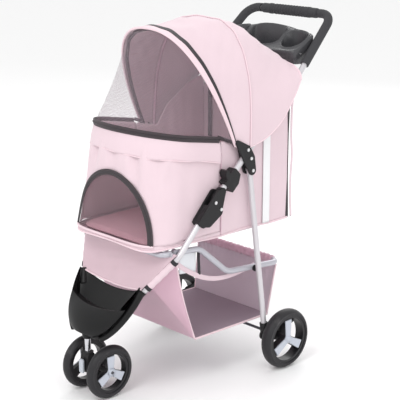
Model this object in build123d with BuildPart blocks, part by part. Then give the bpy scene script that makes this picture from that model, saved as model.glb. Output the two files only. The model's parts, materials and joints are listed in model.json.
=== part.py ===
from build123d import *
import math
import os

# A folding three-wheel pet stroller. Millimetres, +Z up, front towards -Y, floor at z = 0.
# Points named (y, z) lie in the side view; "left" is the +X side.

# ---- tubes and side planes
TUBE_R = 8.0  # main frame tubes
TUBE_BORE = 6.8
SIDE_X = 186.0  # plane of the handle and front tubes
LOWER_X = 168.0  # plane of the lower frame, inside the legs
CHEEK_IN = (172.5, 177.5)  # inner plates of locks and brackets, in x
CHEEK_OUT = (194.5, 199.5)  # outer plates
BETWEEN = (177.9, 194.1)  # what turns between the plates
PIN_R = 3.0
PIN_BORE = 3.05
SNUG = 0.1  # gap between a tube and a sleeve on it

# ---- pivots of the folding frame, (y, z)
FOLD = (-72.0, 498.0)
LEG = (45.0, 583.0)
LOWER = (-206.0, 401.0)
CROSSING = (80.0, 297.0)
HOOP = (0.0, 652.0)
HANDLE_DIR = (0.7358, 0.6772)
FRONT_DIR = (0.682, 0.731)

# ---- handle
HANDLE_LOW = (SIDE_X, -84.9, 518.9)
HANDLE_BEND = (SIDE_X, 200.0, 781.0)
HANDLE_CORNER = (160.0, 396.0, 965.0)
FOAM_START = (177.5, 264.0, 841.1)
FOAM_R = 12.5
GRIP_R = 15.0
GRIP_HALF = 110.0
CORNER_R = 42.0

# ---- wheels
REAR_AXLE = (153.0, 85.0)
REAR_R, REAR_X, REAR_W = 85.0, 227.0, 35.0
FRONT_AXLE = (-338.0, 73.0)
FRONT_R, FRONT_X, FRONT_W = 73.0, 51.0, 26.0
TYRE_CROWN = 9.0  # height of a tyre's round crown
AXLE_R = 4.0
STEM_Y = -368.0
STEM_R = 8.35

# ---- cabin
CABIN_X = 170.0
CLOTH = 2.5
CABIN_BACK = 214.0
CABIN_CORNER = -190.0
CABIN_NOSE = -262.0
CABIN_LOW = 412.0
RIM_BACK, RIM_FRONT = 669.0, 712.0  # height of the rim's top at its ends
NOSE_LOW = [(0, -292), (150, -292), (171, -285), (CABIN_X, CABIN_CORNER)]  # in plan, right half
NOSE_TOP = [(0, CABIN_NOSE), (75, CABIN_NOSE), (168, -228), (CABIN_X, CABIN_CORNER)]
ARCH = (142.0, 157.0)  # half width and height of the front door
ARCH_Z = 427.0


def mirrored(solid):
    with BuildPart() as other:
        mirror(solid, about=Plane.YZ)
    return other.part


def save(solid, name):
    solid.label = name
    export_step(solid, f"parts/{name}.step")


def both(solid, name):
    save(solid, f"{name}_left")
    save(mirrored(solid), f"{name}_right")


def bent_tube(points, radii, outer=TUBE_R, bore=TUBE_BORE):
    """A round tube along straight runs joined by arcs."""
    with BuildPart() as tube:
        with BuildLine() as path:
            if len(points) == 2:
                Line(*points)
            else:
                FilletPolyline(*points, radius=radii)
        run = path.wires()[0]
        with BuildSketch(Plane(origin=run @ 0, z_dir=run % 0)):
            Circle(outer)
            if bore:
                Circle(bore, mode=Mode.SUBTRACT)
        sweep(path=run)
    return tube.part


def side_plane(x):
    """A sketch plane at x, whose own axes are the row's y and z."""
    return Plane(origin=(x, 0, 0), x_dir=(0, 1, 0), z_dir=(1, 0, 0))


def side_hull(circles, x_range):
    """A plate around circles (y, z, radius), from one x to another."""
    with BuildPart() as plate:
        with BuildSketch(side_plane(x_range[0])) as outline:
            for y, z, r in circles:
                with Locations((y, z)):
                    Circle(r)
            make_hull()
        extrude(amount=x_range[1] - x_range[0])
    return plate.part


def cross_pin(at, x_range, r=PIN_R):
    """A round pin along x at (y, z)."""
    with BuildPart() as pin:
        with BuildSketch(side_plane(x_range[0])):
            with Locations(at):
                Circle(r)
        extrude(amount=x_range[1] - x_range[0])
    return pin.part


def rod(start, end, r):
    """A solid round rod from one point to another."""
    return bent_tube([start, end], None, outer=r, bore=0)


def panel(points, thickness):
    """A thin flat panel through three or four points in space."""
    corner = Vector(*points[0])
    along = Vector(*points[1]) - corner
    normal = along.cross(Vector(*points[2]) - corner)
    plane = Plane(origin=corner, x_dir=along, z_dir=normal)
    flat = [plane.to_local_coords(Vector(*p)) for p in points]
    with BuildPart() as sheet:
        with BuildSketch(plane):
            Polygon(*[(p.X, p.Y) for p in flat], align=None)
        extrude(amount=thickness)
    return sheet.part


def on_tube(at, direction, along, drop):
    """(y, z) at a distance along a tube's direction and below it, from a point."""
    y, z = direction
    return (at[0] + along * y + drop * z, at[1] + along * z - drop * y)


# ---------------------------------------------------------------- handle frame


def handle_tube():
    mirror_x = lambda p: (-p[0], p[1], p[2])
    points = [HANDLE_LOW, HANDLE_BEND, HANDLE_CORNER]
    points += [mirror_x(p) for p in reversed(points)]
    return bent_tube(points, [150, CORNER_R, CORNER_R, 150])


def handle_foam():
    """The foam sleeve over one upper leg and round its corner."""
    end = (GRIP_HALF + 1.5, HANDLE_CORNER[1], HANDLE_CORNER[2])
    sleeve = bent_tube([FOAM_START, HANDLE_CORNER, end], CORNER_R, FOAM_R, TUBE_R + SNUG)
    with BuildPart() as foam:
        add(sleeve)
        mirror(sleeve, about=Plane.YZ)
    return foam.part


def handle_grip():
    """The moulded grip in the middle of the bar, crowned and with a collar at each end."""
    with BuildPart() as grip:
        with BuildSketch(Plane(origin=(0, *HANDLE_CORNER[1:]), x_dir=(1, 0, 0), z_dir=(0, -1, 0))):
            with BuildLine():
                Line((-GRIP_HALF, TUBE_R + SNUG), (GRIP_HALF, TUBE_R + SNUG))
                Line((GRIP_HALF, TUBE_R + SNUG), (GRIP_HALF, FOAM_R + 0.5))
                ThreePointArc((GRIP_HALF, FOAM_R + 0.5), (0, GRIP_R), (-GRIP_HALF, FOAM_R + 0.5))
                Line((-GRIP_HALF, FOAM_R + 0.5), (-GRIP_HALF, TUBE_R + SNUG))
            make_face()
        revolve(axis=Axis((0, HANDLE_CORNER[1], HANDLE_CORNER[2]), (1, 0, 0)))
    return grip.part


TRAY_FRONT, TRAY_BACK = 252.0, 340.0
TRAY_LOW, TRAY_TOP = 838.0, 930.0
CUP_X, CUP_Y, CUP_R = 113.0, 295.0, 35.0


def parent_tray():
    """The tray between the upper legs: two cup holders and a middle bin."""
    with BuildPart() as tray:
        with BuildSketch(Plane.XY.offset(TRAY_LOW)):
            Polygon((-150, TRAY_FRONT + 12), (150, TRAY_FRONT + 12), (146, TRAY_BACK - 12),
                    (-146, TRAY_BACK - 12), align=None)
        with BuildSketch(Plane.XY.offset(TRAY_TOP)):
            Polygon((-160, TRAY_FRONT), (160, TRAY_FRONT), (150, TRAY_BACK),
                    (-150, TRAY_BACK), align=None)
        loft()
        slope = Plane(origin=(0, TRAY_FRONT, TRAY_TOP - 34), x_dir=(1, 0, 0), z_dir=(0, -0.32, 0.947))
        split(bisect_by=slope, keep=Keep.BOTTOM)
        fillet(tray.edges().filter_by(lambda e: e.length > 60 and abs((e % 0.5).Z) > 0.8), 14)
        with BuildSketch(Plane.XY.offset(TRAY_LOW + 6)):
            for side in (-1, 1):
                with Locations((side * CUP_X, CUP_Y)):
                    Circle(CUP_R - 4)
        extrude(amount=120, taper=-2.5, mode=Mode.SUBTRACT)
        with BuildSketch(Plane.XY.offset(TRAY_LOW + 16)):
            with Locations((0, CUP_Y + 2)):
                RectangleRounded(136, 62, 10)
        extrude(amount=120, mode=Mode.SUBTRACT)
    return tray.part


def tray_screws():
    """Screws that hold the tray to the upper legs, one pair each side."""
    with BuildPart() as screws:
        for side in (-1, 1):
            for y, x in ((268, 157.6), (322, 152.8)):
                add(cross_pin((y, 868 + 0.6 * (y - 268)), (x, x + 3.0), 2.5) if side > 0 else
                    mirrored(cross_pin((y, 868 + 0.6 * (y - 268)), (x, x + 3.0), 2.5)))
    return screws.part


BRACKET = [(26, 642, 12), (38, 617, 15), (LEG[0], LEG[1], 13)]
RIVETS = [(26, 642), (38, 617)]


def hinge_bracket():
    """The moulded bracket over the handle tube that holds the rear leg's pivot."""
    outer = side_hull([(-8, 664, 8)] + BRACKET, CHEEK_OUT)
    inner = side_hull(BRACKET, CHEEK_IN)
    middle = on_tube(HANDLE_LOW[1:], HANDLE_DIR, 165, -TUBE_R - 6)
    with BuildPart() as bracket:
        add(outer)
        add(inner)
        with BuildSketch(side_plane(CHEEK_IN[0])):
            with Locations(Location((middle[0], middle[1]), 42.6)):
                Rectangle(26, 7)
        extrude(amount=CHEEK_OUT[1] - CHEEK_IN[0])
        fillet(bracket.edges().filter_by(GeomType.CIRCLE).group_by(Axis.X)[-1], 1.5)
        add(cross_pin(LEG, (170, 202), PIN_R + 0.02), mode=Mode.SUBTRACT)
    return bracket.part


def bracket_rivets():
    """The leg pivots and the rivet heads on both brackets."""
    with BuildPart() as rivets:
        pivot = cross_pin(LEG, (CHEEK_IN[0], CHEEK_OUT[1]))
        heads = [cross_pin(at, (CHEEK_OUT[1], CHEEK_OUT[1] + 2.2), 4.5) for at in RIVETS + [LEG]]
        for solid in [pivot + heads[-1]] + heads[:-1]:
            add(solid)
            mirror(solid, about=Plane.YZ)
    return rivets.part


def fold_block():
    """The end fitting of the handle tube, with the ear that turns on the fold pivot."""
    near = on_tube(HANDLE_LOW[1:], HANDLE_DIR, 12, 0)
    far = on_tube(HANDLE_LOW[1:], HANDLE_DIR, 34, 0)
    with BuildPart() as block:
        add(side_hull([(*FOLD, 11), (*near, 12), (*far, 11)], BETWEEN))
        run = rod(HANDLE_LOW, HANDLE_BEND, TUBE_R + SNUG)
        add(run, mode=Mode.SUBTRACT)
        add(cross_pin(FOLD, (170, 202), PIN_BORE), mode=Mode.SUBTRACT)
    return block.part


SLIDER = (52.0, 104.0)  # reach of the lock slider along the handle tube, from its low end


def lock_slider():
    """The sliding lock sleeve on the handle tube, with its finger hook."""
    at = lambda along, drop: on_tube(HANDLE_LOW[1:], HANDLE_DIR, along, drop)
    low, high = SLIDER
    with BuildPart() as slider:
        with BuildSketch(side_plane(CHEEK_IN[0] + 1)):
            Polygon(at(low, 26), at(low, -14), at(low + 12, -14), at(low + 18, -30),
                    at(low + 26, -34), at(low + 32, -30), at(low + 30, -18), at(high, -13),
                    at(high, 13), at(low + 30, 26), align=None)
        extrude(amount=CHEEK_OUT[1] - CHEEK_IN[0] - 2)
        fillet(slider.edges().filter_by(Axis.X), 2)
        run = rod(HANDLE_LOW, HANDLE_BEND, TUBE_R + 0.3)
        add(run, mode=Mode.SUBTRACT)
    return slider.part


# ---------------------------------------------------------------- front frame

FRONT_TOP = (SIDE_X, *on_tube(FOLD, FRONT_DIR, -14, -29.3))
FRONT_BEND = (SIDE_X, -211.0, 392.0)
ARM_TOP = (123.0, -276.0, 300.0)
ARM_IN = (103.0, -296.5, 270.8)


def front_tube():
    return bent_tube([FRONT_TOP, FRONT_BEND, ARM_IN], 55)


def lock_housing():
    """The lower half of the lock: a socket round the front tube and two cheeks."""
    at = lambda along, drop: on_tube(FOLD, FRONT_DIR, along, drop - 29.3)
    outline = [(*at(-62, -2), 12), (*at(24, -2), 13), (*at(-8, 28), 13), (*at(-50, 18), 12)]
    with BuildPart() as housing:
        add(side_hull(outline, CHEEK_IN))
        add(side_hull(outline, CHEEK_OUT))
        with BuildSketch(side_plane(CHEEK_IN[0])):
            Polygon(at(-72, -13), at(-16, -13), at(-16, 20), at(-60, 20), at(-72, 10), align=None)
        extrude(amount=CHEEK_OUT[1] - CHEEK_IN[0])
        run = rod((SIDE_X, *at(-90, 0)), (SIDE_X, *at(0, 0)), TUBE_R + SNUG)
        add(run, mode=Mode.SUBTRACT)
        add(cross_pin(FOLD, (170, 202), PIN_R + 0.02), mode=Mode.SUBTRACT)
    return housing.part


def lock_rivets():
    """The fold pivots and the rivet heads of both lock housings."""
    top = on_tube(FOLD, FRONT_DIR, 2, -29.3)
    with BuildPart() as rivets:
        pivot = cross_pin(FOLD, (CHEEK_IN[0], CHEEK_OUT[1]))
        head = cross_pin(FOLD, (CHEEK_OUT[1], CHEEK_OUT[1] + 2.2), 4.5)
        for solid in (pivot + head, cross_pin(top, (CHEEK_OUT[1], CHEEK_OUT[1] + 2.2), 4.5)):
            add(solid)
            mirror(solid, about=Plane.YZ)
    return rivets.part


def cabin_support():
    """The tube under the cabin's front, welded to the front tubes by short lugs."""
    back, front = -222.0, -252.0
    points = [(LOWER_X, back, LOWER[1]), (LOWER_X - 4, front, LOWER[1] + 2)]
    points += [(4 - LOWER_X, front, LOWER[1] + 2), (-LOWER_X, back, LOWER[1])]
    with BuildPart() as support:
        add(bent_tube(points, 22, bore=0))
        for side in (-1, 1):
            with Locations((side * (LOWER_X + 9.0), back - 4, LOWER[1])):
                Box(3.0, 8, 10)
    return support.part


HUB_TIP = (0.0, -367.0, 169.0)


def arm_bore(side):
    """The two ends of the hole in a hub arm, a little past the tube's end and the arm's."""
    low, high = Vector(*ARM_IN), Vector(*FRONT_BEND)
    along = (high - low).normalized()
    ends = (low - along, low + along * 56)
    return [(side * end.X, end.Y, end.Z) for end in ends]


def front_hub():
    """The moulded shield that joins the front tubes to the caster's stem."""
    lean = Vector(0, ARM_TOP[1] - HUB_TIP[1], ARM_TOP[2] - HUB_TIP[2]).normalized()
    outward = Vector(1, 0, 0).cross(lean)
    face = Plane(origin=(0, HUB_TIP[1] + 4, HUB_TIP[2] - 2), x_dir=(1, 0, 0), z_dir=outward)
    height = (Vector(0, ARM_TOP[1], ARM_TOP[2]) - Vector(*HUB_TIP)).length
    with BuildPart() as hub:
        with BuildSketch(face.offset(-17)):
            with BuildLine():
                Spline((-138, height + 4), (-96, 74), (-22, 2), tangents=[(0.42, -1), (0.9, -0.5)])
                Line((-22, 2), (22, 2))
                Spline((22, 2), (96, 74), (138, height + 4), tangents=[(0.9, 0.5), (0.42, 1)])
                Line((138, height + 4), (112, height + 8))
                Spline((112, height + 8), (0, height - 26), (-112, height + 8),
                       tangents=[(-0.8, -0.6), (-0.8, 0.6)])
                Line((-112, height + 8), (-138, height + 4))
            make_face()
        extrude(amount=34)
        with BuildSketch(face.offset(-9)):
            with BuildLine():
                Spline((-102, height + 30), (-84, 98), (0, 76), (84, 98), (102, height + 30))
                Line((102, height + 30), (-102, height + 30))
            make_face()
        extrude(amount=40, mode=Mode.SUBTRACT)
        with BuildSketch(Plane.XY.offset(HUB_TIP[2])):
            with Locations((0, STEM_Y)):
                Circle(14.5)
        extrude(amount=46)
        for side in (-1, 1):
            arm = rod((side * ARM_IN[0], *ARM_IN[1:]), (side * ARM_TOP[0], *ARM_TOP[1:]), 12.2)
            add(arm)
        for side in (-1, 1):
            run = rod(*arm_bore(side), TUBE_R + SNUG)
            add(run, mode=Mode.SUBTRACT)
        with BuildSketch(Plane.XY.offset(HUB_TIP[2] - 12)):
            with Locations((0, STEM_Y)):
                Circle(STEM_R + 0.05)
        extrude(amount=12 + 34, mode=Mode.SUBTRACT)
        with BuildSketch(Plane.XY.offset(HUB_TIP[2] - 30)):
            with Locations((0, STEM_Y)):
                Circle(26)
        extrude(amount=30, mode=Mode.SUBTRACT)
    return hub.part


def hub_screws():
    """The two small screws in the hub's upper face."""
    lean = Vector(0, ARM_TOP[1] - HUB_TIP[1], ARM_TOP[2] - HUB_TIP[2]).normalized()
    outward = Vector(1, 0, 0).cross(lean)
    with BuildPart() as screws:
        for side in (-1, 1):
            seat = Vector(side * 50, HUB_TIP[1] + 4, HUB_TIP[2] - 2) + lean * 108 - outward * 9
            with BuildSketch(Plane(origin=seat, z_dir=outward)):
                Circle(3.5)
            extrude(amount=1.6)
    return screws.part


# ---------------------------------------------------------------- caster and front wheels


def caster_stem():
    with BuildPart() as stem:
        with BuildSketch(Plane.XY.offset(100)):
            with Locations((0, STEM_Y)):
                Circle(STEM_R)
        extrude(amount=HUB_TIP[2] + 33 - 100)
    return stem.part


def caster_housing():
    """The moulded fork between the twin wheels."""
    with BuildPart() as housing:
        add(side_hull([(STEM_Y, 112, 12), (STEM_Y - 4, 78, 13), (*FRONT_AXLE, 14)], (-15, 15)))
        with BuildSketch(Plane.XY.offset(100)):
            with Locations((0, STEM_Y)):
                Circle(15)
        extrude(amount=24)
        add(cross_pin(FRONT_AXLE, (-37.4, -15), 9))
        add(cross_pin(FRONT_AXLE, (15, 37.4), 9))
        with BuildSketch(Plane.XY.offset(100)):
            with Locations((0, STEM_Y)):
                Circle(STEM_R + 0.02)
        extrude(amount=40, mode=Mode.SUBTRACT)
        add(cross_pin(FRONT_AXLE, (-70, 70), AXLE_R + 0.02), mode=Mode.SUBTRACT)
    return housing.part


def swivel_lock_lever():
    """The flat foot lever in front of the fork."""
    with BuildPart() as lever:
        with BuildSketch(Plane.XZ.offset(388.0)):
            with Locations((0, 88)):
                RectangleRounded(17, 38, 4)
        extrude(amount=5)
        fillet(lever.edges().group_by(Axis.Y)[0], 1.2)
    return lever.part


def wheel(axle, radius, x, width):
    """Tyre, three-spoked rim and Y-shaped cover of one wheel, on the +X side."""
    centre = Plane(origin=(x, *axle), x_dir=(0, 1, 0), z_dir=(1, 0, 0))
    turn = Axis((x, *axle), (1, 0, 0))
    half = width / 2
    tyre_in = radius - 15
    rim_in = radius - 24
    with BuildPart() as tyre:
        with BuildSketch(Plane(origin=(x, *axle), x_dir=(1, 0, 0), z_dir=(0, 0, 1))):
            with BuildLine():
                Line((1 - half, tyre_in), (-half, radius - TYRE_CROWN))
                ThreePointArc((-half, radius - TYRE_CROWN), (0, radius), (half, radius - TYRE_CROWN))
                Line((half, radius - TYRE_CROWN), (half - 1, tyre_in))
                Line((half - 1, tyre_in), (1 - half, tyre_in))
            make_face()
        revolve(axis=turn)
    with BuildPart() as rim:
        with BuildSketch(centre.offset(-half + 3)):
            Circle(tyre_in - 0.05)
            Circle(rim_in, mode=Mode.SUBTRACT)
        extrude(amount=width - 6)
        with BuildSketch(centre.offset(-half)):
            Circle(15)
        extrude(amount=width - 7)
        with BuildSketch(centre.offset(-half + 7)):
            for k in range(3):
                with Locations(Rotation(0, 0, 90 + 120 * k)):
                    Polygon((0, -8), (rim_in + 3, -14), (rim_in + 3, 14), (0, 8), align=None)
        extrude(amount=width - 14)
        with BuildSketch(centre.offset(-half)):
            Circle(AXLE_R + 0.05)
        extrude(amount=width, mode=Mode.SUBTRACT)
    with BuildPart() as cover:
        with BuildSketch(centre.offset(half - 7)) as y_shape:
            for k in range(3):
                with Locations(Rotation(0, 0, 90 + 120 * k)):
                    Polygon((0, -8), (rim_in - 5, -12.5), (rim_in - 5, 12.5), (0, 8), align=None)
            fillet(y_shape.vertices().group_by(SortBy.DISTANCE)[0], 12)
        extrude(amount=4)
        with BuildSketch(centre.offset(half - 7)):
            Circle(AXLE_R + 0.1)
        extrude(amount=4, mode=Mode.SUBTRACT)
    return tyre.part, rim.part, cover.part


def save_wheels(name, axle, radius, x, width):
    tyre, rim, cover = wheel(axle, radius, x, width)
    both(tyre, f"{name}_tyre")
    both(rim, f"{name}_rim")
    both(cover, f"{name}_cover")


# ---------------------------------------------------------------- rear legs and lower frame

LEG_FOOT = (199.0, 99.0, 112.0)


def leg_direction():
    return (Vector(*LEG_FOOT) - Vector(SIDE_X, *LEG)).normalized()


def rear_leg():
    top = Vector(SIDE_X, *LEG) - leg_direction() * 9
    with BuildPart() as leg:
        add(bent_tube([top, Vector(*LEG_FOOT)], None))
        add(cross_pin(LEG, (SIDE_X - 8.2, SIDE_X + 8.2), TUBE_R - 1.5))
        add(cross_pin(LEG, (170, 202), PIN_BORE), mode=Mode.SUBTRACT)
    return leg.part


BRAKE = (176.0, 112.0)


def wheel_holder():
    """The moulded foot of the leg, which carries the axle behind it."""
    with BuildPart() as holder:
        add(side_hull([(100, 100, 14), (*REAR_AXLE, 14), (*BRAKE, 9)], (192, 198)))
        add(cross_pin(REAR_AXLE, (198, 208.8), 12))
        add(rod(Vector(*LEG_FOOT) - leg_direction() * 26, Vector(*LEG_FOOT) + leg_direction() * 12, 11.5))
        add(rod(Vector(*LEG_FOOT) - leg_direction() * 30, Vector(*LEG_FOOT), TUBE_R + 0.02),
            mode=Mode.SUBTRACT)
        with Locations((218.8, 100, 100)):
            Box(20, 80, 120, mode=Mode.SUBTRACT)
        add(cross_pin(BRAKE, (198, 208)))
        add(cross_pin(REAR_AXLE, (180, 220), AXLE_R + 0.02), mode=Mode.SUBTRACT)
    return holder.part


def brake_pedal():
    """The foot pedal beside the wheel."""
    with BuildPart() as pedal:
        add(side_hull([(*BRAKE, 8), (212, 120, 5)], (198.4, 207.6)))
        add(cross_pin(BRAKE, (190, 220), PIN_BORE), mode=Mode.SUBTRACT)
    return pedal.part


LOWER_BACK = 186.0


def lower_frame_tube():
    """The U-shaped tube that holds the basket, with an S bend in each side."""
    side = [(LOWER_X, LOWER[0], LOWER[1]), (LOWER_X, -122, 394), (LOWER_X, -18, 306)]
    side += [(LOWER_X, LOWER_BACK, 290)]
    points = side + [(-x, y, z) for x, y, z in reversed(side)]
    with BuildPart() as tube:
        add(bent_tube(points, [40, 60, 30, 30, 60, 40], bore=0))
        for x in (-LOWER_X, LOWER_X):
            add(cross_pin(LOWER, (x - TUBE_R + 0.4, x + TUBE_R - 0.4), 9.5))
        add(cross_pin(LOWER, (-180, 180), PIN_BORE), mode=Mode.SUBTRACT)
    return tube.part


def frame_collars():
    """Plastic collars of the lower frame: spacers at the leg crossings and tube clips."""
    with BuildPart() as collars:
        for side in (-1, 1):
            spacer = cross_pin(CROSSING, (LOWER_X + TUBE_R + 0.1, 183.4), 9)
            add(spacer if side > 0 else mirrored(spacer))
    return collars.part


FLOOR = (150.0, -121.0, 159.0, 129.0)  # basket floor: half width, front, back, height


def basket():
    """The open-sided basket: floor, leaning front, wings up the tubes, and a back wall."""
    x, front, back, z = FLOOR
    hub_end = (116, -250, 306)
    high = (171, -206, 382)
    flip = lambda p: (-p[0], p[1], p[2])
    with BuildPart() as cloth:
        add(panel([(-x, front, z), (x, front, z), (x, back, z), (-x, back, z)], CLOTH))
        add(panel([(x, front, z), (-x, front, z), flip(hub_end), hub_end], CLOTH))
        add(panel([(-x, back, z), (x, back, z), (158, 172, 278), (-158, 172, 278)], -CLOTH))
        add(panel([(x, front, z), hub_end, high], -CLOTH))
        add(panel([(-x, front, z), flip(hub_end), flip(high)], CLOTH))
    return cloth.part


# ---------------------------------------------------------------- cabin


def rim_plane(drop=0.0):
    """The plane of the rim, which rises to the front; its normal points down."""
    rise = (RIM_FRONT - RIM_BACK) / (-15.0 - CABIN_NOSE)
    return Plane(origin=(0, -15.0, RIM_BACK - drop), x_dir=(1, 0, 0), z_dir=(0, rise, 1))


def nose_shell(outer, inner):
    """The curved front wall, square below and rounder at the rim, from its outer to its inner offset."""
    with BuildPart() as shell:
        for points, level in ((NOSE_LOW, CABIN_LOW + 8), (NOSE_TOP, 730)):
            with BuildSketch(Plane.XY.offset(level)):
                with BuildLine():
                    for grow in (outer, -inner):
                        right = [(x * (1 + grow / CABIN_X), y - grow * (y < CABIN_CORNER)) for x, y in points]
                        Bezier(*right)
                        Bezier(*[(-x, y) for x, y in right])
                    for side in (-1, 1):
                        Line((side * (CABIN_X + outer), CABIN_CORNER), (side * (CABIN_X - inner), CABIN_CORNER))
                make_face()
        loft()
    return shell.part


def arch_cutter(shrink):
    """A prism of the door's arch along y."""
    half, height = ARCH[0] - shrink, ARCH[1] - shrink
    with BuildPart() as cutter:
        with BuildSketch(Plane.XZ.offset(190)):
            with Locations((0, ARCH_Z + shrink)):
                Ellipse(half, height)
                with Locations((0, -height / 2)):
                    Rectangle(2 * half + 2, height, mode=Mode.SUBTRACT)
        extrude(amount=110)
    return cutter.part


def cabin_front():
    """The curved front wall with its arched door opening."""
    with BuildPart() as wall:
        add(nose_shell(0, CLOTH))
        split(bisect_by=rim_plane(2), keep=Keep.BOTTOM)
        add(arch_cutter(0), mode=Mode.SUBTRACT)
    return wall.part


def front_door():
    """The arched mesh door, which fills the opening."""
    with BuildPart() as door:
        add(nose_shell(-0.3, CLOTH - 0.4))
        add(arch_cutter(1.2), mode=Mode.INTERSECT)
    return door.part


def cabin_side():
    """One side wall, from the floor to the rim and up under the canopy."""
    back = CABIN_BACK - CLOTH - 0.2
    with BuildPart() as wall:
        with BuildSketch(side_plane(CABIN_X - CLOTH)):
            Polygon((CABIN_CORNER + 0.4, CABIN_LOW), (back, CABIN_LOW), (back, 770), (150, 742),
                    (60, 676), (30, 640), (-15, 664), (CABIN_CORNER + 0.4, 690), align=None)
        extrude(amount=CLOTH)
    return wall.part


DOOR = (148.0, 424.0, 752.0)  # back door opening: half width, low, high


def cabin_back():
    """The back wall round the back door."""
    half, low, high = DOOR
    with BuildPart() as wall:
        with BuildSketch(Plane.XZ.offset(-CABIN_BACK)):
            with Locations((0, (CABIN_LOW + 772) / 2)):
                Rectangle(2 * CABIN_X, 772 - CABIN_LOW)
            with Locations((0, (low + high) / 2)):
                Rectangle(2 * half, high - low, mode=Mode.SUBTRACT)
        extrude(amount=CLOTH)
    return wall.part


def back_door():
    half, low, high = DOOR
    with BuildPart() as door:
        with BuildSketch(Plane.XZ.offset(-CABIN_BACK + 0.3)):
            with Locations((0, (low + high) / 2)):
                Rectangle(2 * half - 2.4, high - low - 2.4)
        extrude(amount=CLOTH - 0.6)
    return door.part


def floor_board():
    """The stiff padded board on the cabin's floor."""
    half = CABIN_X - CLOTH - 1
    with BuildPart() as board:
        with BuildSketch(Plane.XY.offset(CABIN_LOW)):
            with BuildLine():
                inside = [(x * half / CABIN_X, y + 5 * (y < CABIN_CORNER)) for x, y in NOSE_LOW]
                Bezier(*inside)
                Bezier(*[(-x, y) for x, y in inside])
                Polyline((half, CABIN_CORNER), (half, 208), (-half, 208), (-half, CABIN_CORNER))
            make_face()
        extrude(amount=7)
    return board.part


def rim_hoop():
    """The black rim round the front, with a tab and pin each side for the canopy's hoops."""
    with BuildPart() as rim:
        add(nose_shell(5.6, -0.6))
        for side in (-1, 1):
            with Locations((side * (CABIN_X + 3.1), (CABIN_CORNER - 15) / 2, 680)):
                Box(5, -15 - CABIN_CORNER, 100)
        split(bisect_by=rim_plane(), keep=Keep.BOTTOM)
        split(bisect_by=rim_plane(16), keep=Keep.TOP)
        tab = side_hull([(-20, 660, 7), (*HOOP, 7)], (CABIN_X + 0.6, CABIN_X + 2.8))
        pin = cross_pin(HOOP, (CABIN_X + 2.8, CABIN_X + 14))
        for solid in (tab, pin):
            add(solid)
            mirror(solid, about=Plane.YZ)
    return rim.part


def apron():
    """The cloth panel stretched over the front tubes below the cabin."""
    top, low = (170, -224, 388), (94, -276, 316)
    with BuildPart() as cloth:
        add(panel([top, (-top[0], *top[1:]), (-low[0], *low[1:]), low], CLOTH))
    return cloth.part


# ---------------------------------------------------------------- canopy

FRONT_ANGLE, MID_ANGLE, REAR_ANGLE = 115.0, 81.0, 40.0  # round the hoop pivot, from +Y
HOOP_ARCH = [(184, 94), (179, 160), (168, 207), (152, 249), (122, 285), (66, 313), (0, 322)]
HOOP_WIRE = 2.5


def arch_spline(grow):
    """The canopy's arch in its own plane, symmetric, grown outwards by a distance."""
    reach = [(x + grow * (x > 0), h + grow * (1 - x / 200)) for x, h in HOOP_ARCH]
    start = (CABIN_X + 11 + grow, 26)
    right = [start] + reach
    return right + [(-x, h) for x, h in reversed(right[:-1])]


def hoop_plane(angle):
    """A plane through the hoops' pivot line; its own y axis points up the hoop."""
    up = (math.cos(math.radians(angle)), math.sin(math.radians(angle)))
    return Plane(origin=(0, *HOOP), x_dir=(1, 0, 0), z_dir=Vector(1, 0, 0).cross(Vector(0, *up)))


def canopy_hoop(angle, eye_x):
    """A sprung wire hoop with an eye at each end."""
    arch = arch_spline(0)[1:-1]
    foot = [(eye_x, 5), (eye_x + 1, 40)]
    points = foot + arch + [(-x, h) for x, h in reversed(foot)]
    with BuildPart() as hoop:
        with BuildLine(hoop_plane(angle)) as path:
            Spline(*points)
        run = path.edges()[0]
        with BuildSketch(Plane(origin=run @ 0, z_dir=run % 0)):
            Circle(HOOP_WIRE)
        sweep(path=run)
        for side in (-1, 1):
            eye = cross_pin(HOOP, (eye_x - 2.25, eye_x + 2.25), 7)
            add(eye if side > 0 else mirrored(eye))
        bore = cross_pin(HOOP, (-200, 200), PIN_BORE)
        add(bore, mode=Mode.SUBTRACT)
    return hoop.part


def canopy_panel(start_angle, end_angle):
    """The canopy's skin between two hoop angles: the arch turned about the pivot line."""
    with BuildPart() as skin:
        with BuildSketch(hoop_plane(end_angle)):
            with BuildLine():
                Spline(*arch_spline(6.5))
                inner = arch_spline(4)
                Spline(*inner)
                Line(arch_spline(6.5)[0], inner[0])
                Line(arch_spline(6.5)[-1], inner[-1])
            make_face()
        revolve(axis=Axis((0, *HOOP), (1, 0, 0)), revolution_arc=start_angle - end_angle)
    return skin.part


WINDOW_TOP = [(181, 30), (178, 94), (172, 160), (152, 236), (110, 286), (58, 312), (0, 319)]
WINDOW_RIM = [(170, 8), (170, -90), (165, -168), (136, -205), (92, -231), (46, -243), (0, -247)]


def facet(a, b, c):
    """One flat triangle."""
    return Face(Wire.make_polygon([a, c, b], close=True))


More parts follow.
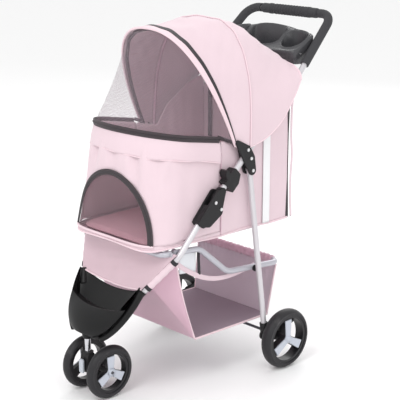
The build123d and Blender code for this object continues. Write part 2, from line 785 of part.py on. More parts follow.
def window_mesh():
    """The mesh window stretched from the front hoop down to the rim, built of flat facets."""
    rows = []
    for inset in (0, 1):
        for line, plane in ((WINDOW_TOP, hoop_plane(FRONT_ANGLE + 4)), (WINDOW_RIM, rim_plane(-3))):
            near = [(x * (1 - 0.012 * inset), v - math.copysign(2 * inset, v)) for x, v in line]
            both_sides = near + [(-x, v) for x, v in reversed(near[:-1])]
            rows.append([plane.from_local_coords(Vector(x, v, 0)) for x, v in both_sides])
    outer_top, outer_rim, inner_top, inner_rim = rows
    faces = []
    for first, second in ((outer_top, outer_rim), (outer_rim, inner_rim),
                          (inner_rim, inner_top), (inner_top, outer_top)):
        for k in range(len(first) - 1):
            faces += [facet(first[k], first[k + 1], second[k + 1]),
                      facet(first[k], second[k + 1], second[k])]
    for k in (0, -1):
        faces += [facet(outer_top[k], outer_rim[k], inner_rim[k]),
                  facet(outer_top[k], inner_rim[k], inner_top[k])]
    with BuildPart() as mesh:
        add(Solid(Shell(faces)))
    return mesh.part


def main():
    os.makedirs("parts", exist_ok=True)
    save(handle_tube(), "handle_tube")
    save(handle_foam(), "handle_foam")
    save(handle_grip(), "handle_grip")
    save(parent_tray(), "parent_tray")
    save(tray_screws(), "tray_screws")
    both(hinge_bracket(), "hinge_bracket")
    save(bracket_rivets(), "bracket_rivets")
    both(fold_block(), "fold_block")
    both(lock_slider(), "lock_slider")
    both(front_tube(), "front_tube")
    both(lock_housing(), "lock_housing")
    save(lock_rivets(), "lock_rivets")
    save(cabin_support(), "cabin_support_tube")
    save(front_hub(), "front_hub")
    save(hub_screws(), "hub_screws")
    save(caster_stem(), "caster_stem")
    save(caster_housing(), "caster_housing")
    save(rod((-66, *FRONT_AXLE), (66, *FRONT_AXLE), AXLE_R), "front_axle")
    save(swivel_lock_lever(), "swivel_lock_lever")
    save_wheels("front", FRONT_AXLE, FRONT_R, FRONT_X, FRONT_W)
    save_wheels("rear", REAR_AXLE, REAR_R, REAR_X, REAR_W)
    both(rear_leg(), "rear_leg")
    both(wheel_holder(), "wheel_holder")
    both(brake_pedal(), "brake_pedal")
    save(rod((-236, *REAR_AXLE), (236, *REAR_AXLE), AXLE_R), "rear_axle")
    save(lower_frame_tube(), "lower_frame_tube")
    save(frame_collars(), "frame_collars")
    save(basket(), "basket")
    save(cabin_front(), "cabin_front")
    save(front_door(), "front_door")
    both(cabin_side(), "cabin_side")
    save(cabin_back(), "cabin_back")
    save(back_door(), "back_door")
    save(floor_board(), "floor_board")
    save(rim_hoop(), "rim_hoop")
    save(apron(), "apron")
    save(canopy_hoop(FRONT_ANGLE, CABIN_X + 10.9), "canopy_front_hoop")
    save(canopy_hoop(MID_ANGLE, CABIN_X + 5.5), "canopy_mid_hoop")
    save(canopy_panel(FRONT_ANGLE - 1, MID_ANGLE + 0.5), "canopy_front_panel")
    save(canopy_panel(MID_ANGLE - 0.5, REAR_ANGLE), "canopy_rear_panel")
    save(window_mesh(), "window_mesh")


main()
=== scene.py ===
# %% [markdown]
# # A folding pet stroller
# The tubes, plastic mouldings and wheels come from the CAD model and only get finishes here. All of the
# cloth is made here as curved sheets, because flat CAD panels don't look like cloth.

# %% Load the frame
import json
import math
from math import pi
import bpy
import numpy as np
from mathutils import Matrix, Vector


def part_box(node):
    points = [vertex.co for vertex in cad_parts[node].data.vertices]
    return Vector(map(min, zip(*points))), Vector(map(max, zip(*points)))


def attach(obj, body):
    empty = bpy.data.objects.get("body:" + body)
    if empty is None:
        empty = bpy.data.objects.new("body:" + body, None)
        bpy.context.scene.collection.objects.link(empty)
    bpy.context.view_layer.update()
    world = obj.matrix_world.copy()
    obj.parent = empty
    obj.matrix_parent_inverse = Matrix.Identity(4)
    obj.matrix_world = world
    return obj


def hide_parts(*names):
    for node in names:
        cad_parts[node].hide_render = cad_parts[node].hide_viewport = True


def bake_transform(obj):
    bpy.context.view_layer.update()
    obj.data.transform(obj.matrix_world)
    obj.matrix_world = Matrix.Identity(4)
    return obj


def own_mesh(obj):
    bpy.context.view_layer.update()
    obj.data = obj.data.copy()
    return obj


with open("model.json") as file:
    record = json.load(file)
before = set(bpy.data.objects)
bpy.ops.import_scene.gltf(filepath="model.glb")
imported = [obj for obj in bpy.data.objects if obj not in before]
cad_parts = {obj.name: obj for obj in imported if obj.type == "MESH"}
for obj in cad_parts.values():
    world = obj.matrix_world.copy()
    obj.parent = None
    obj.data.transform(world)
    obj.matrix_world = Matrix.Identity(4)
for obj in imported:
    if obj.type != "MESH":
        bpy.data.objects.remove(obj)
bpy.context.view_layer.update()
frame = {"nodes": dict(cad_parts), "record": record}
scene = bpy.context.scene

# %% [markdown]
# ## Finishes
# One helper builds every opaque finish: a base colour varied by two noises, a roughness that varies with
# it, and a fine bump. The numbers that are the same all over go straight on the shader's sockets.


# %% Finish helper
def crossed_threads(tree, operation, scale, distortion=0.0, detail=2.0):
    """Two crossed waves on the cloth's own UV map, one for each way the threads run, joined by the given
    operation.
    """
    node, link = tree.nodes.new, tree.links.new
    uv, join = node("ShaderNodeUVMap"), node("ShaderNodeMath")
    uv.uv_map, join.operation = "cloth", operation
    for number, direction in enumerate(("X", "Y")):
        wave = node("ShaderNodeTexWave")
        wave.bands_direction = direction
        wave.inputs["Scale"].default_value = scale
        wave.inputs["Distortion"].default_value = distortion
        wave.inputs["Detail"].default_value = detail
        link(uv.outputs["UV"], wave.inputs["Vector"])
        link(wave.outputs["Fac"], join.inputs[number])
    return join


def finish(name, colour, rough, vary=0.06, grain=900.0, bump=0.15, depth=0.0004, metal=0.0,
           coat=0.0, sheen=0.0, spec=0.5, blotch=22.0, weave=0.0, dust=0.0):
    """A procedural finish: colour and roughness vary with noise, and a grain gives the bump."""
    material = bpy.data.materials.new(name)
    material.use_nodes = True
    tree = material.node_tree
    shader = tree.nodes["Principled BSDF"]
    node, link = tree.nodes.new, tree.links.new
    shader.inputs["Metallic"].default_value = metal
    shader.inputs["Coat Weight"].default_value = coat
    shader.inputs["Coat Roughness"].default_value = 0.25
    shader.inputs["Sheen Weight"].default_value = sheen
    shader.inputs["Sheen Roughness"].default_value = 0.45
    shader.inputs["Specular IOR Level"].default_value = spec
    where = node("ShaderNodeTexCoord")
    wide, fine = node("ShaderNodeTexNoise"), node("ShaderNodeTexNoise")
    wide.inputs["Scale"].default_value = blotch
    wide.inputs["Detail"].default_value = 4
    fine.inputs["Scale"].default_value = grain
    fine.inputs["Detail"].default_value = 2
    for noise in (wide, fine):
        link(where.outputs["Object"], noise.inputs["Vector"])
    shade = node("ShaderNodeMixRGB")
    dark = [max(c * (1 - vary * 1.6), 0) for c in colour]
    light = [min(c * (1 + vary), 1) for c in colour]
    shade.inputs[1].default_value = (*dark, 1)
    shade.inputs[2].default_value = (*light, 1)
    link(wide.outputs["Fac"], shade.inputs[0])
    result = shade.outputs[0]
    if weave:
        cross = crossed_threads(tree, "MULTIPLY", weave, distortion=0.6, detail=1)
        tint = node("ShaderNodeMixRGB")
        tint.blend_type = "MULTIPLY"
        tint.inputs[2].default_value = (0.93, 0.90, 0.915, 1)
        link(cross.outputs[0], tint.inputs[0])
        link(result, tint.inputs[1])
        result, grain_out = tint.outputs[0], cross.outputs[0]
    else:
        grain_out = fine.outputs["Fac"]
    if dust:
        ramp = node("ShaderNodeValToRGB")
        ramp.color_ramp.elements[0].position = 0.62
        ramp.color_ramp.elements[1].position = 0.78
        link(wide.outputs["Fac"], ramp.inputs[0])
        amount = node("ShaderNodeMath")
        amount.operation = "MULTIPLY"
        amount.inputs[1].default_value = dust
        link(ramp.outputs[0], amount.inputs[0])
        grey = node("ShaderNodeMixRGB")
        grey.inputs[2].default_value = (0.42, 0.40, 0.38, 1)
        link(amount.outputs[0], grey.inputs[0])
        link(result, grey.inputs[1])
        result = grey.outputs[0]
    link(result, shader.inputs["Base Color"])
    span = node("ShaderNodeMapRange")
    span.inputs["To Min"].default_value = max(rough - 0.08, 0.02)
    span.inputs["To Max"].default_value = min(rough + 0.08, 1.0)
    link(wide.outputs["Fac"], span.inputs["Value"])
    link(span.outputs[0], shader.inputs["Roughness"])
    rise = node("ShaderNodeBump")
    rise.inputs["Strength"].default_value = bump
    rise.inputs["Distance"].default_value = depth
    link(grain_out, rise.inputs["Height"])
    link(rise.outputs[0], shader.inputs["Normal"])
    return material


def linear(r, g, b):
    """A screen colour of 0 to 255 as the linear light that a shader takes."""
    c = np.array([r, g, b]) / 255
    return tuple(float(x) for x in np.where(c < 0.04045, c / 12.92, ((c + 0.055) / 1.055) ** 2.4))


# %% [markdown]
# ## Cloth and net
# The polyester is a plain weave, so its threads are two crossed waves on the cloth's own UV map, which is
# laid out in metres. The net is the same idea with the gaps cut out through the alpha.

# %% Cloth finishes
PINK = finish("pink_polyester", linear(225, 204, 211), 0.82, vary=0.035, weave=160, bump=0.25,
              depth=0.0002, sheen=0.25, spec=0.2, blotch=9)
ROSE = finish("rose_polyester", linear(209, 174, 189), 0.85, vary=0.05, weave=160, bump=0.25,
              depth=0.0002, sheen=0.2, spec=0.2, blotch=9)
# The apron's pink is darkened to paint in the shade that the cabin casts on it.
PINK_WITH_PAINTED_SHADE = finish("apron_polyester_painted_shade", linear(208, 184, 192), 0.85, vary=0.04, weave=160, bump=0.25,
                depth=0.0002, sheen=0.2, spec=0.2, blotch=9)
LINING = finish("basket_lining", linear(206, 192, 202), 0.9, vary=0.05, weave=160, bump=0.25,
                depth=0.0002, sheen=0.1, spec=0.15, blotch=9)
MAUVE = finish("basket_inside", linear(152, 137, 148), 0.9, vary=0.05, weave=160, bump=0.25,
               depth=0.0002, sheen=0.1, spec=0.15, blotch=9)
PALE = finish("pale_piping", linear(232, 208, 215), 0.7, vary=0.03, grain=1500, bump=0.2, sheen=0.2, spec=0.2)
STRIPE = finish("reflective_stripe", linear(236, 236, 238), 0.35, vary=0.03, grain=2600, bump=0.2, spec=0.6)
PATCH = finish("grey_patch", linear(226, 229, 233), 0.75, vary=0.03, weave=200, bump=0.2, depth=0.0002)
BLACK_TAPE = finish("black_tape", linear(62, 54, 58), 0.75, vary=0.12, weave=240, bump=0.5,
                    depth=0.0004, sheen=0.1)
ZIP = finish("zip_teeth", linear(52, 46, 50), 0.5, vary=0.15, weave=95, bump=0.9, depth=0.0012)
STRAP = finish("black_webbing", linear(46, 44, 48), 0.8, vary=0.1, weave=120, bump=0.6, depth=0.0006)
PAD = finish("floor_pad_cover", linear(214, 162, 175), 0.9, vary=0.08, grain=1400, bump=0.35, sheen=0.2)


def net(name, colour, cells, open_share):
    """A net: threads where either of two waves is high, and nothing between them."""
    material = finish(name, colour, 0.7, vary=0.1, grain=1600, bump=0.2)
    tree = material.node_tree
    node, link = tree.nodes.new, tree.links.new
    most = crossed_threads(tree, "MAXIMUM", cells)
    ramp = node("ShaderNodeMapRange")
    ramp.inputs["From Min"].default_value = open_share
    ramp.inputs["From Max"].default_value = min(open_share + 0.12, 1)
    link(most.outputs[0], ramp.inputs["Value"])
    link(ramp.outputs[0], tree.nodes["Principled BSDF"].inputs["Alpha"])
    return material


WINDOW_NET = net("window_net", linear(172, 156, 166), 130, 0.885)
DOOR_NET = net("door_net", linear(118, 106, 112), 130, 0.90)

# %% [markdown]
# ## Metal, plastic and rubber
# The tubes are a satin powder coat, the mouldings a fine-grained nylon and the tyres a matt foam rubber.

# %% Finishes for the CAD pieces
finishes = {
    "frame_silver": finish("silver_coat", linear(208, 205, 209), 0.36, vary=0.04, metal=0.45, bump=0.08,
                           coat=0.2, dust=0.03),
    "frame_grey": finish("grey_coat", linear(188, 188, 196), 0.38, vary=0.04, metal=0.4, bump=0.08, coat=0.2),
    "black_plastic": finish("black_nylon", linear(32, 31, 33), 0.5, vary=0.12, grain=1300, bump=0.3,
                            dust=0.03, spec=0.3),
    "hub_plastic": finish("hub_moulding", linear(20, 20, 21), 0.42, vary=0.1, grain=900, bump=0.08,
                          spec=0.25),
    "tray_plastic": finish("tray_moulding", linear(68, 68, 71), 0.26, vary=0.06, grain=1500, bump=0.3,
                           spec=0.4),
    "foam": finish("handle_foam_skin", linear(58, 58, 61), 0.85, vary=0.14, grain=420, bump=0.7, depth=0.001),
    "rivet_steel": finish("rivet_steel", linear(225, 224, 226), 0.3, metal=0.9, bump=0.1),
    "stem_steel": finish("stem_plating", linear(205, 205, 210), 0.18, metal=1.0, bump=0.05),
    "axle_steel": finish("axle_steel", linear(86, 86, 92), 0.35, metal=0.8, bump=0.1),
    "lever_grey": finish("lever_plastic", linear(190, 195, 204), 0.42, bump=0.2),
    "tyre": finish("foam_tyre", linear(40, 39, 42), 0.5, vary=0.25, grain=600, bump=0.35, depth=0.0006,
                   dust=0.10, spec=0.35),
    "rim_plastic": finish("rim_moulding", linear(34, 33, 36), 0.34, vary=0.1, grain=1000, bump=0.12,
                          spec=0.35),
    "cover_grey": finish("cover_moulding", linear(190, 195, 206), 0.4, vary=0.03, grain=1600, bump=0.2),
    "hoop_wire": finish("hoop_wire", linear(150, 140, 146), 0.4, metal=0.6, bump=0.1),
    "mesh": DOOR_NET, "rim_black": BLACK_TAPE, "floor_pad": PAD, "cloth_pink": PINK, "cloth_basket": ROSE,
}
slots = {row["node"]: row["material_slot"] for row in frame["record"]["subparts"]}
for name, piece in frame["nodes"].items():
    material = finishes[slots[name]]
    piece.data.materials.clear()
    piece.data.materials.append(material)
print("finished", len(slots), "CAD pieces")

# %% [markdown]
# ## Surfaces from arrays
# Every sheet is a grid of points. The helper below turns a grid into a mesh with a UV map in metres, so
# that the weave keeps its scale, and a Solidify modifier then gives the cloth its thickness.


# %% Grid helper
def grid(name, points, material, body, wrap=False, thick=0.0, caps=False):
    """A surface through an (m, n, 3) array of points.

    wrap joins the last row to the first, caps closes both ends, and thick is the cloth's thickness.
    """
    m, n = points.shape[:2]
    mesh = bpy.data.meshes.new(name)
    rows = np.arange(m if wrap else m - 1)[:, None]
    cols = np.arange(n - 1)[None, :]
    after = (rows + 1) % m
    quads = np.stack([rows * n + cols, after * n + cols, after * n + cols + 1, rows * n + cols + 1], -1)
    faces = quads.reshape(-1, 4)
    lists = faces.tolist()
    if caps:
        lists += [(np.arange(m)[::-1] * n).tolist(), (np.arange(m) * n + n - 1).tolist()]
    mesh.from_pydata(points.reshape(-1, 3).tolist(), [], lists)
    across = np.linalg.norm(np.diff(points, axis=0, append=points[:1]), axis=2).mean(1)
    along = np.linalg.norm(np.diff(points, axis=1), axis=2).mean(0)
    v = np.concatenate([[0], np.cumsum(across)])
    u = np.concatenate([[0], np.cumsum(along)])
    corner_v = np.stack([rows, rows + 1, rows + 1, rows], -1) + 0 * cols[..., None]
    corner_u = np.stack([cols, cols, cols + 1, cols + 1], -1) + 0 * rows[..., None]
    layer = np.zeros((len(mesh.loops), 2), np.float32)
    layer[:faces.size, 0] = u[corner_u].reshape(-1)
    layer[:faces.size, 1] = v[corner_v].reshape(-1)
    mesh.uv_layers.new(name="cloth").data.foreach_set("uv", layer.reshape(-1))
    mesh.polygons.foreach_set("use_smooth", [True] * len(mesh.polygons))
    mesh.materials.append(material)
    mesh.update()
    piece = bpy.data.objects.new(name, mesh)
    scene.collection.objects.link(piece)
    if thick:
        wall = piece.modifiers.new("thickness", "SOLIDIFY")
        wall.thickness, wall.offset = thick, 0.0
    if body:
        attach(piece, body)
    return piece


def unit(v):
    """The same directions, each one long."""
    return v / np.maximum(np.linalg.norm(v, axis=-1, keepdims=True), 1e-12)


def cord_frame(path, up):
    """Two directions square to a path at each point: up, made square to the path, and their cross."""
    along = unit(np.gradient(path, axis=0))
    up = np.broadcast_to(np.asarray(up, float), path.shape)
    first = unit(up - (up * along).sum(1, keepdims=True) * along)
    return first, np.cross(along, first)


def tube(name, path, radius, material, body, up=(0, 0, 1), around=10):
    """A round bead along a path: a circle carried along it."""
    first, second = cord_frame(path, up)
    turn = np.linspace(0, 2 * pi, around, endpoint=False)[:, None, None]
    radius = np.broadcast_to(np.asarray(radius, float), (len(path),))[None, :, None]
    points = path[None] + radius * (np.cos(turn) * first[None] + np.sin(turn) * second[None])
    return grid(name, points, material, body, wrap=True, caps=True)


def band(name, path, outward, width, thick, material, body, across=None):
    """A flat tape along a path, rounded at its edges: a stadium shape carried along it."""
    first, second = cord_frame(path, outward)
    if across is not None:
        second = unit(np.broadcast_to(np.asarray(across, float), path.shape))
    turn = np.linspace(0, 2 * pi, 16, endpoint=False)[:, None, None]
    c, s = np.cos(turn), np.sin(turn)
    width = np.broadcast_to(np.asarray(width, float), (len(path),))[None, :, None]
    flat = np.sign(s) * np.abs(s) ** 0.45 * width / 2
    proud = np.sign(c) * np.abs(c) ** 0.6 * thick / 2
    points = path[None] + proud * first[None] + flat * second[None]
    return grid(name, points, material, body, wrap=True, caps=True)


def piping(name, path, radius, body="front_frame", up=(0, 0, 1)):
    """A pale bead along a seam or a hem."""
    return tube(name, path, radius, PALE, body, up=up)


def mesh_area(piece):
    """The area of a piece's faces, in square metres."""
    areas = np.zeros(len(piece.data.polygons))
    piece.data.polygons.foreach_get("area", areas)
    return float(areas.sum())


def cloth(piece, width, length):
    """Prints a sheet with its flat cut, and its real area where the cut isn't a rectangle."""
    area = min(mesh_area(piece) * 0.99, width * length)
    print(piece.name, "flat", width, length, "area", round(area, 4))


# %% [markdown]
# ## The cabin's outline
# In plan the cabin is two straight sides joined by a rounded nose. `plan` gives the point a distance s
# round that line from the middle of the nose, and `wall` puts a point on it at a height, pushed outwards.

# %% Cabin outline
HALF, SIDE_Y, BACK_Y = 0.170, -0.155, 0.2125
LOW = 0.412
top_hull = np.array([[0, -0.262], [0.075, -0.262], [0.166, -0.226], [HALF, SIDE_Y]])
low_hull = np.array([[0, -0.291], [0.160, -0.293], [0.171, -0.298], [HALF, SIDE_Y]])
bez = np.linspace(0, 1, 240)


def curve(hull, t):
    """A cubic Bezier curve of four points."""
    t = t[..., None]
    return ((1 - t) ** 3 * hull[0] + 3 * t * (1 - t) ** 2 * hull[1] + 3 * t ** 2 * (1 - t) * hull[2]
            + t ** 3 * hull[3])


line = np.vstack([curve(top_hull, bez), [[HALF, BACK_Y]]])
reach = np.concatenate([[0], np.cumsum(np.linalg.norm(np.diff(line, axis=0), axis=1))])
S_SIDE, S_BACK = float(reach[-2]), float(reach[-1])


def plan(s, high=1.0):
    """The plan point at distance s from the nose: the square low outline, the round high one, or between.

    s is measured along the high outline, positive on the left and mirrored for negative.
    """
    s, high = np.broadcast_arrays(np.asarray(s, float), np.asarray(high, float))
    t = np.interp(np.abs(s), reach[:-1], bez)
    point = curve(low_hull, t) * (1 - high[..., None]) + curve(top_hull, t) * high[..., None]
    y = np.where(np.abs(s) > S_SIDE, SIDE_Y + np.abs(s) - S_SIDE, point[..., 1])
    x = np.where(np.abs(s) > S_SIDE, HALF, point[..., 0]) * np.sign(s)
    return x, y


def s_at(y):
    """The distance round the outline at which the straight side reaches y."""
    return S_SIDE + (y - SIDE_Y)


def rim_z(s):
    """The rim climbs from the side to the nose."""
    return 0.668 + np.clip(-0.02 - plan(s)[1], 0, None) * 0.170


def share_high(z):
    """How far a height is from the low outline (0) to the high one (1)."""
    return np.clip((z - LOW) / 0.290, 0, 1)


def outward(s, high=1.0):
    """The direction square to the wall, away from the cabin."""
    x0, y0 = plan(s - 0.002, high)
    x1, y1 = plan(s + 0.002, high)
    return unit(np.stack([y1 - y0, x0 - x1, 0 * x0], -1))


def wall(s, z, out=0.0):
    """A point of the cabin's wall at distance s and height z, out metres outside it."""
    s, z, out = np.broadcast_arrays(np.asarray(s, float), np.asarray(z, float), np.asarray(out, float))
    x, y = plan(s, share_high(z))
    return np.stack([x, y, z], -1) + outward(s, share_high(z)) * out[..., None]


def folds(s, z, size=0.0042):
    """Soft upright folds of cloth: sines of two pitches whose phase drifts with height."""
    drift = 9 * z + 1.3 * np.sin(7 * z)
    return size * (np.sin(s * 92 + drift) + 0.7 * np.sin(s * 151 - 1.7 * drift + 1.1) * np.sin(s * 23))


print("nose to side", round(S_SIDE, 3), "to back", round(S_BACK, 3))

# %% [markdown]
# ## Cabin cloth
# The front is one sheet with an arched hole. Its grid runs round the arch one way and from the arch out to
# the sheet's edge the other way, so that the hole has a clean edge.

# %% Cabin front
S_SEAM = s_at(-0.046)
ARCH_HALF, ARCH_LOW, ARCH_HIGH = 0.122, 0.427, 0.157
angles = np.linspace(0, pi, 121)
out_share = np.linspace(0, 1, 22)[:, None] ** 0.9
arch_s = -ARCH_HALF * np.sign(np.cos(angles)) * np.abs(np.cos(angles)) ** 1.12
arch_t = ARCH_HIGH * np.sin(angles) ** 0.94
top_height = 0.262
ray = np.minimum(S_SEAM / np.maximum(np.abs(np.cos(angles)), 1e-6),
                 top_height / np.maximum(np.sin(angles), 1e-6))
edge_s, edge_t = -ray * np.cos(angles), ray * np.sin(angles)
front_s = arch_s + (edge_s - arch_s) * out_share
front_t = arch_t + (edge_t - arch_t) * out_share
front_z = ARCH_LOW + front_t * (rim_z(front_s) - ARCH_LOW) / top_height
hold = np.sin(pi * np.clip(out_share, 0, 1)) ** 0.7
calm = 1 - 0.9 * np.clip((np.abs(front_s) - S_SIDE + 0.05) / 0.05, 0, 1)
bulge = (0.004 + folds(front_s, front_z)) * hold * calm
cabin_front = grid("cabin_front_cloth", wall(front_s, front_z, bulge), PINK, "front_frame",
                   thick=0.0012)
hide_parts("cabin_front")
cloth(cabin_front, 0.64, 0.30)

sill_s = np.linspace(-S_SEAM, S_SEAM, 90)
sill_z = np.linspace(LOW + 0.004, ARCH_LOW, 4)[:, None]
sill = grid("cabin_sill_cloth", wall(sill_s[None], sill_z, 0.001), PINK, "front_frame",
            thick=0.0012)
cloth(sill, 0.64, 0.02)

# %% [markdown]
# ## Cabin sides and back
# The sides and the back are single panels of the same polyester. A simulated plane would wrinkle at random,
# so each panel is a grid on the cabin's outline, with shallow folds that die out at its seams. The back is
# a frame of cloth round a zipped door.

# %% Cabin sides and back
def side_top(y):
    """The height at which the canopy hides the top of a side."""
    return np.interp(y, [-0.05, -0.015, 0.03, 0.07, 0.15, 0.22], [0.672, 0.664, 0.656, 0.712, 0.762, 0.786])


def side_cloth(name, hand, node):
    """One side of the cabin, from the seam behind the nose to the back corner."""
    y = np.linspace(-0.046, BACK_Y, 60)
    share = np.linspace(0, 1, 40)[:, None]
    z = LOW + share * (side_top(y) - LOW)
    s = hand * s_at(y)
    hold = np.sin(pi * share) ** 0.5 * np.sin(pi * (y + 0.046) / (BACK_Y + 0.046)) ** 0.4
    piece = grid(name, wall(s + 0 * z, z, 0.0008 * hold + folds(s + 0 * z, z, 0.0009) * hold), PINK,
                 "front_frame", thick=0.0012)
    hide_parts(node)
    cloth(piece, 0.26, 0.33)


side_cloth("cabin_side_cloth_left", 1, "cabin_side_left")
side_cloth("cabin_side_cloth_right", -1, "cabin_side_right")


def back_point(x, z, out):
    """A point of the back wall, out metres behind it."""
    return np.stack([x + 0 * z, BACK_Y + 0.0005 + out + 0 * (x + z), z + 0 * x], -1)


DOOR_HALF_X, DOOR_HALF_Z, DOOR_MID = 0.146, 0.162, 0.590
CORNER = 0.16
turned = np.linspace(0, 2 * pi, 161)
ring = np.linspace(0, 1, 6)[:, None]


def square_ring(half_x, half_z):
    """A rounded rectangle round the door, as a superellipse."""
    c, s = np.cos(turned), np.sin(turned)
    return half_x * np.sign(c) * np.abs(c) ** CORNER, half_z * np.sign(s) * np.abs(s) ** CORNER


in_x, in_z = square_ring(DOOR_HALF_X, DOOR_HALF_Z)
out_x, out_z = square_ring(HALF, 0.180)
back_x = in_x + (out_x - in_x) * ring
back_z = DOOR_MID + 0.002 + in_z + (out_z - in_z) * ring
back_frame = back_point(back_x, back_z, 0 * back_x).transpose(1, 0, 2)[:-1]
cabin_back = grid("cabin_back_cloth", back_frame, PINK, "front_frame", wrap=True, thick=0.0012)
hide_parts("cabin_back")
cloth(cabin_back, 0.04, 1.30)
door_u = np.linspace(-1, 1, 50)
door_v = -np.cos(np.linspace(0.03, pi - 0.03, 50))[:, None]
door_x = DOOR_HALF_X * (1 - np.abs(door_v) ** (2 / CORNER)) ** (CORNER / 2) * door_u
door_z = DOOR_MID + DOOR_HALF_Z * door_v
crown = 0.002 * (1 - door_u ** 2) * (1 - door_v ** 2) + 0.0008 * np.sin(door_z * 60)
back_door = grid("back_door_cloth", back_point(door_x, door_z, crown), PINK, "back_door",
                 thick=0.0012)
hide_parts("back_door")
cloth(back_door, 0.295, 0.325)
zip_line = np.stack([in_x, 0 * in_x + BACK_Y + 0.0022, DOOR_MID + in_z], -1)[:-1]
band("back_door_zip", zip_line, (0, 1, 0), 0.010, 0.003, ZIP, "back_door")

# %% [markdown]
# ## Trim on the cabin
# A black zip tape runs round the rim. Below it a loose flap hides the seam, with a wavy lower hem. A curve
# with a bevel could make the tape, but a flat profile carried along the path lies square to the cloth.

# %% Rim, flap and seams
S_RIM = s_at(-0.056)
s = np.linspace(-S_RIM, S_RIM, 150)
rim_path = wall(s, rim_z(s) + 0.003, 0.003)
rim = band("rim_tape", rim_path, outward(s), 0.017, 0.007, BLACK_TAPE, "front_frame",
           across=(0, 0, 1))
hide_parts("rim_hoop")
tube("rim_zip_cord", wall(s, rim_z(s) + 0.003, 0.0068), 0.0016, ZIP, "front_frame")

flap_s = np.linspace(-S_RIM - 0.004, S_RIM + 0.004, 170)
drop = np.linspace(0, 1, 14)[:, None]
hem = 0.052 + 0.0016 * np.sin(flap_s * 23) + 0.0008 * np.sin(flap_s * 61 + 1)
flap_z = rim_z(flap_s) - 0.004 - drop * hem
flap_out = 0.0035 + 0.004 * np.sin(drop * 2.2) + 0.0012 * drop * np.sin(flap_s * 60)
flap = grid("rim_flap", wall(flap_s + 0 * drop, flap_z, flap_out), PINK, "front_frame",
            thick=0.0011)
cloth(flap, 0.64, 0.05)
piping("flap_hem", wall(flap_s, rim_z(flap_s) - 0.004 - hem, 0.0035 + 0.004 * math.sin(2.2)), 0.0015)
s = np.linspace(-S_BACK, S_BACK, 240)
piping("cabin_bottom_piping", wall(s, LOW + 0.004 + 0.002 * np.cos(s * 30), 0.0015), 0.0028)
pair = {"left": 1, "right": -1}
for hand, sign in pair.items():
    z = np.linspace(LOW + 0.004, 0.640, 40)
    tube(f"side_seam_{hand}", wall(sign * (S_SEAM + 0 * z), z, 0.0016), 0.0012, ROSE, "front_frame",
         up=(1, 0, 0))
    z = np.linspace(LOW + 0.006, 0.716, 40)
    band(f"side_stripe_{hand}", wall(sign * s_at(0.124 + 0 * z), z, 0.0042), (1, 0, 0), 0.027, 0.0014, STRIPE,
         "front_frame", across=(0, 1, 0))
    z = np.linspace(LOW + 0.004, 0.768, 60)
    gape = 0.004 + 0.004 * np.cos((z - LOW) / 0.356 * 2 * pi) ** 4
    edge = np.stack([sign * (HALF + 0.0012 + 0 * z), BACK_Y - 0.001 + 0 * z, z], -1)
    wide = 0.003 + 0.012 * np.clip(np.abs((z - 0.59) / 0.18) - 0.35, 0, 1) ** 0.8
    band(f"back_edge_zip_{hand}", edge, (1, 0, 0), wide, 0.0022, ZIP, "front_frame",
         across=(0, 1, 0))
    lip = np.stack([sign * (HALF + 0.0015 + 0 * z), BACK_Y + 0.007 + gape, z], -1)
    band(f"back_edge_flap_{hand}", lip, (1, 0, 0), 0.008, 0.002, PINK, "front_frame",
         across=(0, 1, 0))

# %% [markdown]
# ## The arch door
# The door is net inside a wide black zip tape. Its sewn edge is along the sill, and it turns there. A picture
# of a door on the cloth would be quicker, but a real hole with its own sheet can open.

# %% Arch door
inner = np.linspace(0, 1, 24)[:, None]
door_s = arch_s * (1 - inner * 0.999)
door_t = arch_t * (1 - inner * 0.999)
door_z = ARCH_LOW + door_t * (rim_z(door_s) - ARCH_LOW) / top_height
door_out = 0.0035 * np.sin(inner * 1.6) * np.sin(angles) + 0.001 * np.sin(door_s * 120 + door_z * 60)
door = grid("arch_door_net", wall(door_s, door_z, door_out), DOOR_NET, "front_door")
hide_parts("front_door")
cloth(door, 0.30, 0.17)
arch_z = ARCH_LOW + arch_t * (rim_z(arch_s) - ARCH_LOW) / top_height
arch_path = wall(arch_s, arch_z, 0.0042)
normal = outward(arch_s)
band("arch_zip", arch_path, normal, 0.016, 0.0035, BLACK_TAPE, "front_door")
band("arch_zip_teeth", wall(arch_s, arch_z, 0.0062), normal, 0.005, 0.002, ZIP, "front_door")
s = np.linspace(-ARCH_HALF - 0.01, ARCH_HALF + 0.01, 80)
piping("door_sill_piping", wall(s, ARCH_LOW + 0 * s, 0.0045), 0.0034)

# %% [markdown]
# ## Canopy
# The canopy is one skin over three arches: the front hoop, the middle hoop and the rear edge under the
# tray. Every line across it is a superellipse arch between two low ends, and the ends and tops run along
# smooth curves, so the skin has no flats. It is two pieces, split at the middle hoop.

# %% Canopy skin
MID = 0.45
knots = np.array([0.0, MID, 0.62, 0.74, 0.86, 1.0])
low_end = np.array([[0.188, -0.011, 0.655], [0.1965, 0.036, 0.647], [0.199, 0.104, 0.668],
                    [0.199, 0.156, 0.702], [0.1985, 0.202, 0.760], [0.1965, 0.231, 0.806]])
top_end = np.array([[0, -0.150, 0.958], [0, 0.050, 0.9735], [0, 0.112, 0.957],
                    [0, 0.160, 0.928], [0, 0.204, 0.893], [0, 0.236, 0.858]])
power = np.array([2.42, 2.75, 2.7, 2.6, 2.5, 2.4])


def smooth_curve(v, values):
    """Values between the knots along a Catmull-Rom curve."""
    k = np.clip(np.searchsorted(knots, v, side="right") - 1, 0, len(knots) - 2)
    t = ((v - knots[k]) / (knots[k + 1] - knots[k]))[..., None]
    values = values.reshape(len(knots), -1)
    slope = np.gradient(values, knots, axis=0)
    gap = (knots[k + 1] - knots[k])[..., None]
    return ((2 * t ** 3 - 3 * t ** 2 + 1) * values[k] + (t ** 3 - 2 * t ** 2 + t) * gap * slope[k]
            + (3 * t ** 2 - 2 * t ** 3) * values[k + 1] + (t ** 3 - t ** 2) * gap * slope[k + 1])


